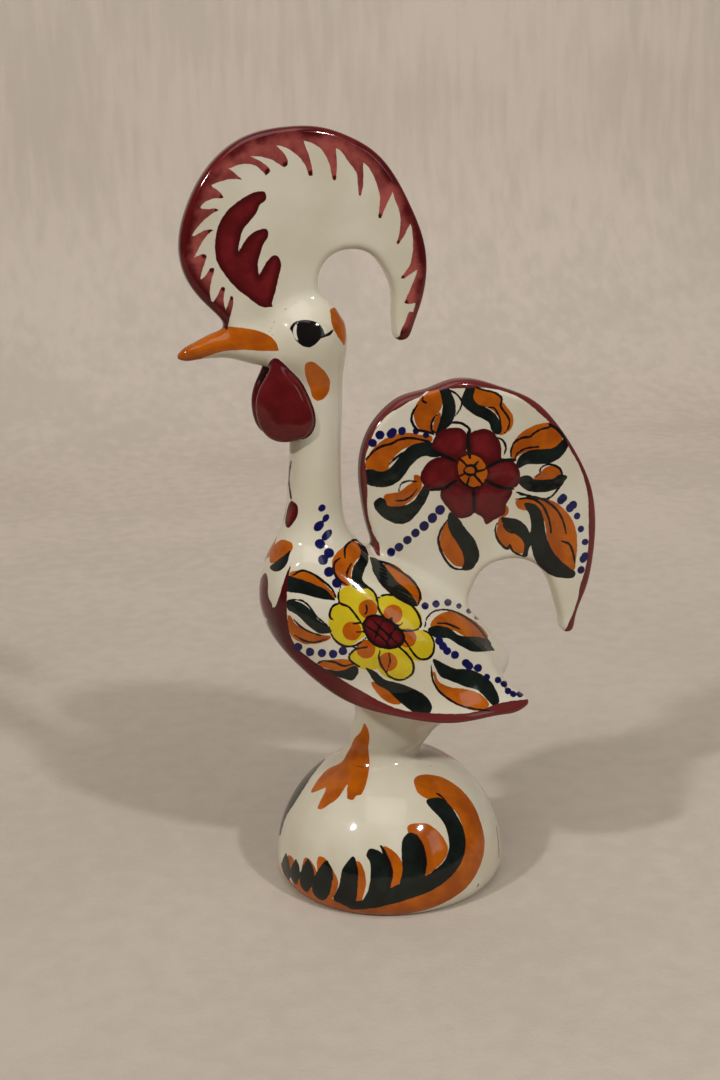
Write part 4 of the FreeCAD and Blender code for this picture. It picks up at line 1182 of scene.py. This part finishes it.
class Tree:
    """A new material's node tree, with the kinds of node that the materials are made of."""

    def __init__(self, name):
        self.material = bpy.data.materials.new(name)
        self.material.use_nodes = True
        self.nodes = self.material.node_tree.nodes
        self.links = self.material.node_tree.links
        self.surface = self.nodes["Principled BSDF"]
        self.place = self.nodes.new("ShaderNodeTexCoord").outputs["Object"]

    def put(self, socket, value):
        """Links another socket to this one, or sets this one's constant."""
        if isinstance(value, bpy.types.NodeSocket):
            self.links.new(value, socket)
        elif socket.type == "RGBA":
            socket.default_value = value + (1.0,)
        else:
            socket.default_value = value

    def attribute(self, layer):
        node = self.nodes.new("ShaderNodeAttribute")
        node.attribute_name = layer
        return node.outputs["Fac"]

    def mix(self, factor, first, second):
        """Colour of first where factor is 0 and of second where it is 1."""
        node = self.nodes.new("ShaderNodeMix")
        node.data_type = "RGBA"
        self.put(node.inputs["Factor"], factor)
        self.put(node.inputs[6], first)
        self.put(node.inputs[7], second)
        return node.outputs[2]

    def calculation(self, kind, operation, first, second):
        node = self.nodes.new(kind)
        node.operation = operation
        self.put(node.inputs[0], first)
        self.put(node.inputs[1], second)
        return node.outputs[0]

    def add(self, first, second):
        return self.calculation("ShaderNodeMath", "ADD", first, second)

    def times(self, first, second):
        return self.calculation("ShaderNodeMath", "MULTIPLY", first, second)

    def greater(self, first, second):
        return self.calculation("ShaderNodeMath", "MAXIMUM", first, second)

    def scaled(self, first, second):
        return self.calculation("ShaderNodeVectorMath", "MULTIPLY", first, second)

    def stretch(self, value, low, high, to_low=0.0, to_high=1.0):
        """A soft step from to_low, where the value is low, to to_high, where it is high."""
        node = self.nodes.new("ShaderNodeMapRange")
        node.interpolation_type = "SMOOTHSTEP"
        for socket, part in (("Value", value), ("From Min", low), ("From Max", high), ("To Min", to_low),
                             ("To Max", to_high)):
            self.put(node.inputs[socket], part)
        return node.outputs["Result"]

    def noise(self, ripples, detail=2.0, place=None):
        """Noise with so many ripples per millimetre."""
        node = self.nodes.new("ShaderNodeTexNoise")
        self.put(node.inputs["Scale"], ripples / METRE)
        self.put(node.inputs["Detail"], detail)
        self.put(node.inputs["Vector"], place or self.place)
        return node.outputs["Fac"]

    def specks(self):
        """Small dark specks, here and there."""
        node = self.nodes.new("ShaderNodeTexVoronoi")
        self.put(node.inputs["Scale"], SPECKS_PER_MM / METRE)
        self.put(node.inputs["Vector"], self.place)
        specks = self.stretch(node.outputs["Distance"], *SPECK_EDGE)
        sparse = self.stretch(self.noise(SPECK_CLOUDS, 1.0), *SPECK_CLOUD_EDGE)
        return self.times(specks, self.times(sparse, SPECK_COVER))

    def finish(self, colour, height, depth, strength):
        """Gives the surface its colour, and a relief of the given depth in millimetres."""
        self.put(self.surface.inputs["Base Color"], colour)
        bump = self.nodes.new("ShaderNodeBump")
        self.put(bump.inputs["Strength"], strength)
        self.put(bump.inputs["Distance"], depth * METRE)
        self.put(bump.inputs["Height"], height)
        self.put(self.surface.inputs["Normal"], bump.outputs["Normal"])
        return self.material


# Colours of the glaze and the paints, where they are thin and where they are thick
IVORY_LIGHT = (0.64, 0.60, 0.490)
IVORY_DEEP = (0.58, 0.53, 0.410)
COLOURS = {
    "yellow": ((0.58, 0.455, 0.015), (0.49, 0.365, 0.008)),
    "orange": ((0.45, 0.104, 0.001), (0.31, 0.062, 0.001)),
    "green": ((0.008, 0.012, 0.009), (0.002, 0.004, 0.003)),
    "wine": ((0.36, 0.080, 0.068), (0.060, 0.0015, 0.0025)),
    "blue": ((0.006, 0.006, 0.085), (0.002, 0.002, 0.042)),
    "black": ((0.008, 0.005, 0.004), (0.003, 0.002, 0.002)),
    "white": ((0.60, 0.57, 0.48), (0.60, 0.57, 0.48)),
}
WINE_BRIGHT = (0.160, 0.009, 0.011)
SPECK_COLOUR = (0.10, 0.07, 0.045)
# Cells per millimetre that may hold a speck, the edge of a speck, and the clouds in which specks are found
SPECKS_PER_MM = 0.16
SPECK_EDGE = (0.045, 0.03)
SPECK_CLOUDS = 0.09
SPECK_CLOUD_EDGE = (0.56, 0.6)
SPECK_COVER = 0.75
# How far each paint has run past its brush mark, its blurred edge and its wobble, in millimetres
SPREAD = {"yellow": 0.35, "orange": 0.32, "green": 0.16, "blue": 0.05, "black": 0.04}
BLUR = 0.09
WOBBLE = 0.07
# Ripples per millimetre of that wobble, of the brush's tone, of the ivory's clouds and of the relief
WOBBLE_RIPPLES = 0.55
BRUSH_RIPPLES = 0.16
IVORY_RIPPLES = 0.045
BROAD_RIPPLES = 0.11
FINE_RIPPLES = 0.5
FINE_SHARE = 0.10
# The range of noise that is stretched from one end of an effect to the other
RANGE = (0.3, 0.7)
IVORY_RANGE = (0.35, 0.65)
# Wine colour: where its dark tone, its dark rim and its brighter inner part begin and end
DARK_EDGE = (0.5, -0.4)
RIM_EDGE = (-5.2, -1.2)
INNER_EDGE = (-0.3, -2.6)
INNER_BRUSH = (1.0, 0.35)
WINE_BRUSH = 0.3
GLAZE_ROUGHNESS = 0.09
GLAZE_IOR = 1.42
GLAZE_RELIEF = 0.22


def make_glaze(name):
    """Glossy tin glaze over clay, with the painting under its surface."""
    tree = Tree(name)
    wobble = tree.stretch(tree.noise(WOBBLE_RIPPLES, 3.0), *RANGE, -WOBBLE, WOBBLE)
    brush = tree.noise(BRUSH_RIPPLES, 3.0)
    brush_tone = tree.stretch(brush, *RANGE)
    clouds = tree.stretch(tree.noise(IVORY_RIPPLES, 3.0), *IVORY_RANGE)
    colour = tree.mix(clouds, IVORY_LIGHT, IVORY_DEEP)
    for layer, (thin, thick) in COLOURS.items():
        distance = tree.add(tree.attribute(layer), wobble if layer != "white" else 0.0)
        run = SPREAD.get(layer, 0.0)
        cover = tree.stretch(distance, run + BLUR, run - BLUR)
        tone = brush_tone
        if layer == "wine":
            dark = tree.stretch(tree.attribute("dark"), *DARK_EDGE)
            edge = tree.add(tree.attribute("rim"), tree.stretch(brush, *RANGE, -1.0, 1.0))
            rim = tree.stretch(edge, *RIM_EDGE)
            inner = tree.times(tree.stretch(distance, *INNER_EDGE), tree.stretch(brush, *RANGE, *INNER_BRUSH))
            thick = tree.mix(inner, thick, WINE_BRIGHT)
            tone = tree.greater(tree.times(tone, WINE_BRUSH), tree.greater(dark, rim))
        colour = tree.mix(cover, colour, tree.mix(tone, thin, thick))
    colour = tree.mix(tree.specks(), colour, SPECK_COLOUR)
    tree.put(tree.surface.inputs["Roughness"], GLAZE_ROUGHNESS)
    tree.put(tree.surface.inputs["IOR"], GLAZE_IOR)
    fine = tree.times(tree.noise(FINE_RIPPLES, 2.0), FINE_SHARE)
    return tree.finish(colour, tree.add(tree.noise(BROAD_RIPPLES, 1.0), fine), GLAZE_RELIEF, 1.0)


def make_mesh(name, places, outwards, faces):
    """A mesh of the named piece, with its shading taken from the clay's exact direction."""
    used, renumbered = np.unique(faces, return_inverse=True)
    renumbered = renumbered.reshape(faces.shape)
    mesh = bpy.data.meshes.new(name)
    mesh.vertices.add(len(used))
    mesh.vertices.foreach_set("co", (places[used] * METRE).astype(np.float32).ravel())
    mesh.loops.add(renumbered.size)
    mesh.loops.foreach_set("vertex_index", renumbered.ravel().astype(np.int32))
    mesh.polygons.add(len(faces))
    mesh.polygons.foreach_set("loop_start", np.arange(0, renumbered.size, 4, dtype=np.int32))
    mesh.polygons.foreach_set("use_smooth", np.ones(len(faces), bool))
    mesh.update(calc_edges=True)
    skin_face = (np.linalg.norm(outwards[faces], axis=2) > 0.5).all(axis=1)
    corner = outwards[faces] * skin_face[:, None, None]
    mesh.normals_split_custom_set(corner.reshape(-1, 3).astype(np.float32).tolist())
    return mesh, used


def add_object(name, data):
    thing = bpy.data.objects.new(name, data)
    bpy.context.scene.collection.objects.link(thing)
    return thing


def build_pieces():
    lattice = Lattice()
    in_spacings, skin, index = cell_points(lattice)
    in_spacings, outwards = on_the_skin(lattice, in_spacings, skin)
    places = in_spacings * SPACING + lattice.low
    layers = Painting(lattice, places, skin, outwards).layers
    faces = faces_by_piece(lattice, index)
    glazes = {slot: make_glaze(slot) for slot in sorted(set(SLOTS.values()))}
    for name in SLOTS:
        mesh, used = make_mesh(name, places, outwards, faces[NUMBER[name]])
        for layer, values in layers.items():
            attribute = mesh.attributes.new(layer, "FLOAT", "POINT")
            attribute.data.foreach_set("value", values[used].astype(np.float32))
        mesh.materials.append(glazes[SLOTS[name]])
        piece = add_object(name + "_clay", mesh)
        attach(piece, "root")
        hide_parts(name)


# The cloth that the figure stands on, which rises behind it, in metres
CLOTH_WIDTH = 3.0
CLOTH_FRONT = -0.45
CLOTH_FOLD = 0.56
CLOTH_BEND = 0.20
CLOTH_BEND_STEPS = 16
CLOTH_HEIGHT = 1.6
# Its colours under the figure and behind it, the floor painted darker as shade and the wall lighter as light,
# and the shares of them that its darker streaks and clouds have
CLOTH_FLOOR_SHADED = (0.57, 0.503, 0.428)
CLOTH_WALL_LIT = (0.74, 0.656, 0.575)
STREAK_FLOOR_SHARE = 0.93
STREAK_WALL_SHARE = 0.90
# Painted shade: the share of its colour at the left, and where the change to the right begins and ends
CLOTH_SHADED_LEFT_SHARE = 0.84
CLOTH_LEFT = -0.35
CLOTH_RIGHT = 0.40
# Its streaks, which are drawn out upwards, its clouds and its weave in ripples per millimetre, and its look
CLOTH_STREAKS = (1.0, 1.0, 0.14)
STREAK_RIPPLES = 0.12
CLOUD_RIPPLES = 0.010
STREAK_RANGE = (0.75, 1.25)
WEAVE_RIPPLES = 0.7
WEAVE_RELIEF = 0.4
WEAVE_STRENGTH = 0.4
CLOTH_ROUGHNESS = 0.9
CLOTH_GLOSS = 0.1


def make_linen():
    tree = Tree("linen")
    parts = tree.nodes.new("ShaderNodeSeparateXYZ")
    tree.put(parts.inputs[0], tree.place)
    # Painted light and shade: the cloth is darker on the floor and lighter towards the wall behind
    back = tree.stretch(parts.outputs["Y"], 0.0, CLOTH_FOLD)
    lit_and_shaded = tree.mix(back, CLOTH_FLOOR_SHADED, CLOTH_WALL_LIT)
    # Darker streaks and clouds in the cloth's colour
    streaked = tree.mix(back, tuple(STREAK_FLOOR_SHARE * part for part in CLOTH_FLOOR_SHADED),
                    tuple(STREAK_WALL_SHARE * part for part in CLOTH_WALL_LIT))
    streaks = tree.noise(STREAK_RIPPLES, 3.0, tree.scaled(tree.place, CLOTH_STREAKS))
    mottling = tree.stretch(tree.add(streaks, tree.noise(CLOUD_RIPPLES, 3.0)), *STREAK_RANGE)
    # Painted shade: the cloth grows darker towards the left
    right = tree.stretch(parts.outputs["X"], CLOTH_LEFT, CLOTH_RIGHT)
    left_painted_shade = tree.mix(right, 3 * (CLOTH_SHADED_LEFT_SHARE,), 3 * (1.0,))
    tree.put(tree.surface.inputs["Roughness"], CLOTH_ROUGHNESS)
    tree.put(tree.surface.inputs["Specular IOR Level"], CLOTH_GLOSS)
    colour = tree.scaled(tree.mix(mottling, lit_and_shaded, streaked), left_painted_shade)
    return tree.finish(colour, tree.noise(WEAVE_RIPPLES, 2.0), WEAVE_RELIEF, WEAVE_STRENGTH)


def make_cloth():
    """Pale linen, flat under the figure and bent up behind it."""
    profile = [(CLOTH_FRONT, 0.0)]
    for step in range(CLOTH_BEND_STEPS + 1):
        turn = math.pi / 2 * step / CLOTH_BEND_STEPS
        profile.append((CLOTH_FOLD + CLOTH_BEND * math.sin(turn), CLOTH_BEND * (1 - math.cos(turn))))
    profile.append((CLOTH_FOLD + CLOTH_BEND, CLOTH_HEIGHT))
    corners = [(side * CLOTH_WIDTH / 2, y, z) for y, z in profile for side in (-1, 1)]
    faces = [(2 * k, 2 * k + 1, 2 * k + 3, 2 * k + 2) for k in range(len(profile) - 1)]
    mesh = bpy.data.meshes.new("cloth")
    mesh.from_pydata(corners, [], faces)
    for polygon in mesh.polygons:
        polygon.use_smooth = True
    mesh.materials.append(make_linen())
    cloth = add_object("cloth", mesh)


def facing(place, right, up, ahead):
    matrix = Matrix.Identity(4)
    for row in (0, 1, 2):
        matrix[row] = (right[row], up[row], -ahead[row], place[row])
    return matrix


def make_camera():
    data = bpy.data.cameras.new("camera")
    data.sensor_fit = "VERTICAL"
    data.sensor_height = SENSOR_HEIGHT
    data.lens = FOCAL_PX * SENSOR_HEIGHT / FRAME_HEIGHT
    data.clip_start = CLIP_START
    camera = add_object("camera", data)
    camera.matrix_world = facing(CAMERA_PLACE * METRE, RIGHT, UP, AHEAD)
    bpy.context.scene.camera = camera


# Lamps: turn from the view's direction, height above the floor's level, distance, size, power, colour
CAMERA_SIDE = math.atan2(CAMERA_PLACE[1], CAMERA_PLACE[0])
FIGURE_MIDDLE = np.array((0.0, 0.0, 0.11))
WARM = (1.0, 0.96, 0.91)
LAMPS = [
    ("lamp_left", -49.7, 38.1, 1.5, (0.085, 0.085), 8.5, WARM),
    ("lamp_right", 42.2, 38.1, 1.5, (0.085, 0.085), 8.5, WARM),
    ("lamp_above", -6.0, 70.0, 1.5, (1.1, 1.1), 6.5, WARM),
    ("window", 52.0, 20.0, 1.6, (0.35, 0.5), 0.9, (0.86, 0.93, 1.0)),
    ("ceiling", 0.0, 86.0, 1.7, (1.6, 1.6), 1.5, (1.0, 0.97, 0.93)),
]
WORLD_COLOUR = (0.92, 0.90, 0.88)
WORLD_STRENGTH = 0.12


def make_lamps():
    for name, turn, height, reach, size, power, colour in LAMPS:
        data = bpy.data.lights.new(name, "AREA")
        data.shape = "RECTANGLE"
        data.size, data.size_y = size
        data.energy = power
        data.color = colour
        around = CAMERA_SIDE + math.radians(turn)
        lift = math.radians(height)
        level = math.cos(lift)
        away = np.array((math.cos(around) * level, math.sin(around) * level, math.sin(lift)))
        right = np.cross(-away, (0, 0, 1))
        right = right / np.linalg.norm(right)
        lamp = add_object(name, data)
        lamp.matrix_world = facing(FIGURE_MIDDLE + reach * away, right, np.cross(right, -away), -away)
    world = bpy.data.worlds.new("room")
    world.use_nodes = True
    room = world.node_tree.nodes["Background"]
    room.inputs["Color"].default_value = WORLD_COLOUR + (1.0,)
    room.inputs["Strength"].default_value = WORLD_STRENGTH
    bpy.context.scene.world = world


def main():
    build_pieces()
    make_cloth()
    make_camera()
    make_lamps()
    bpy.context.scene.view_settings.view_transform = "Standard"


main()
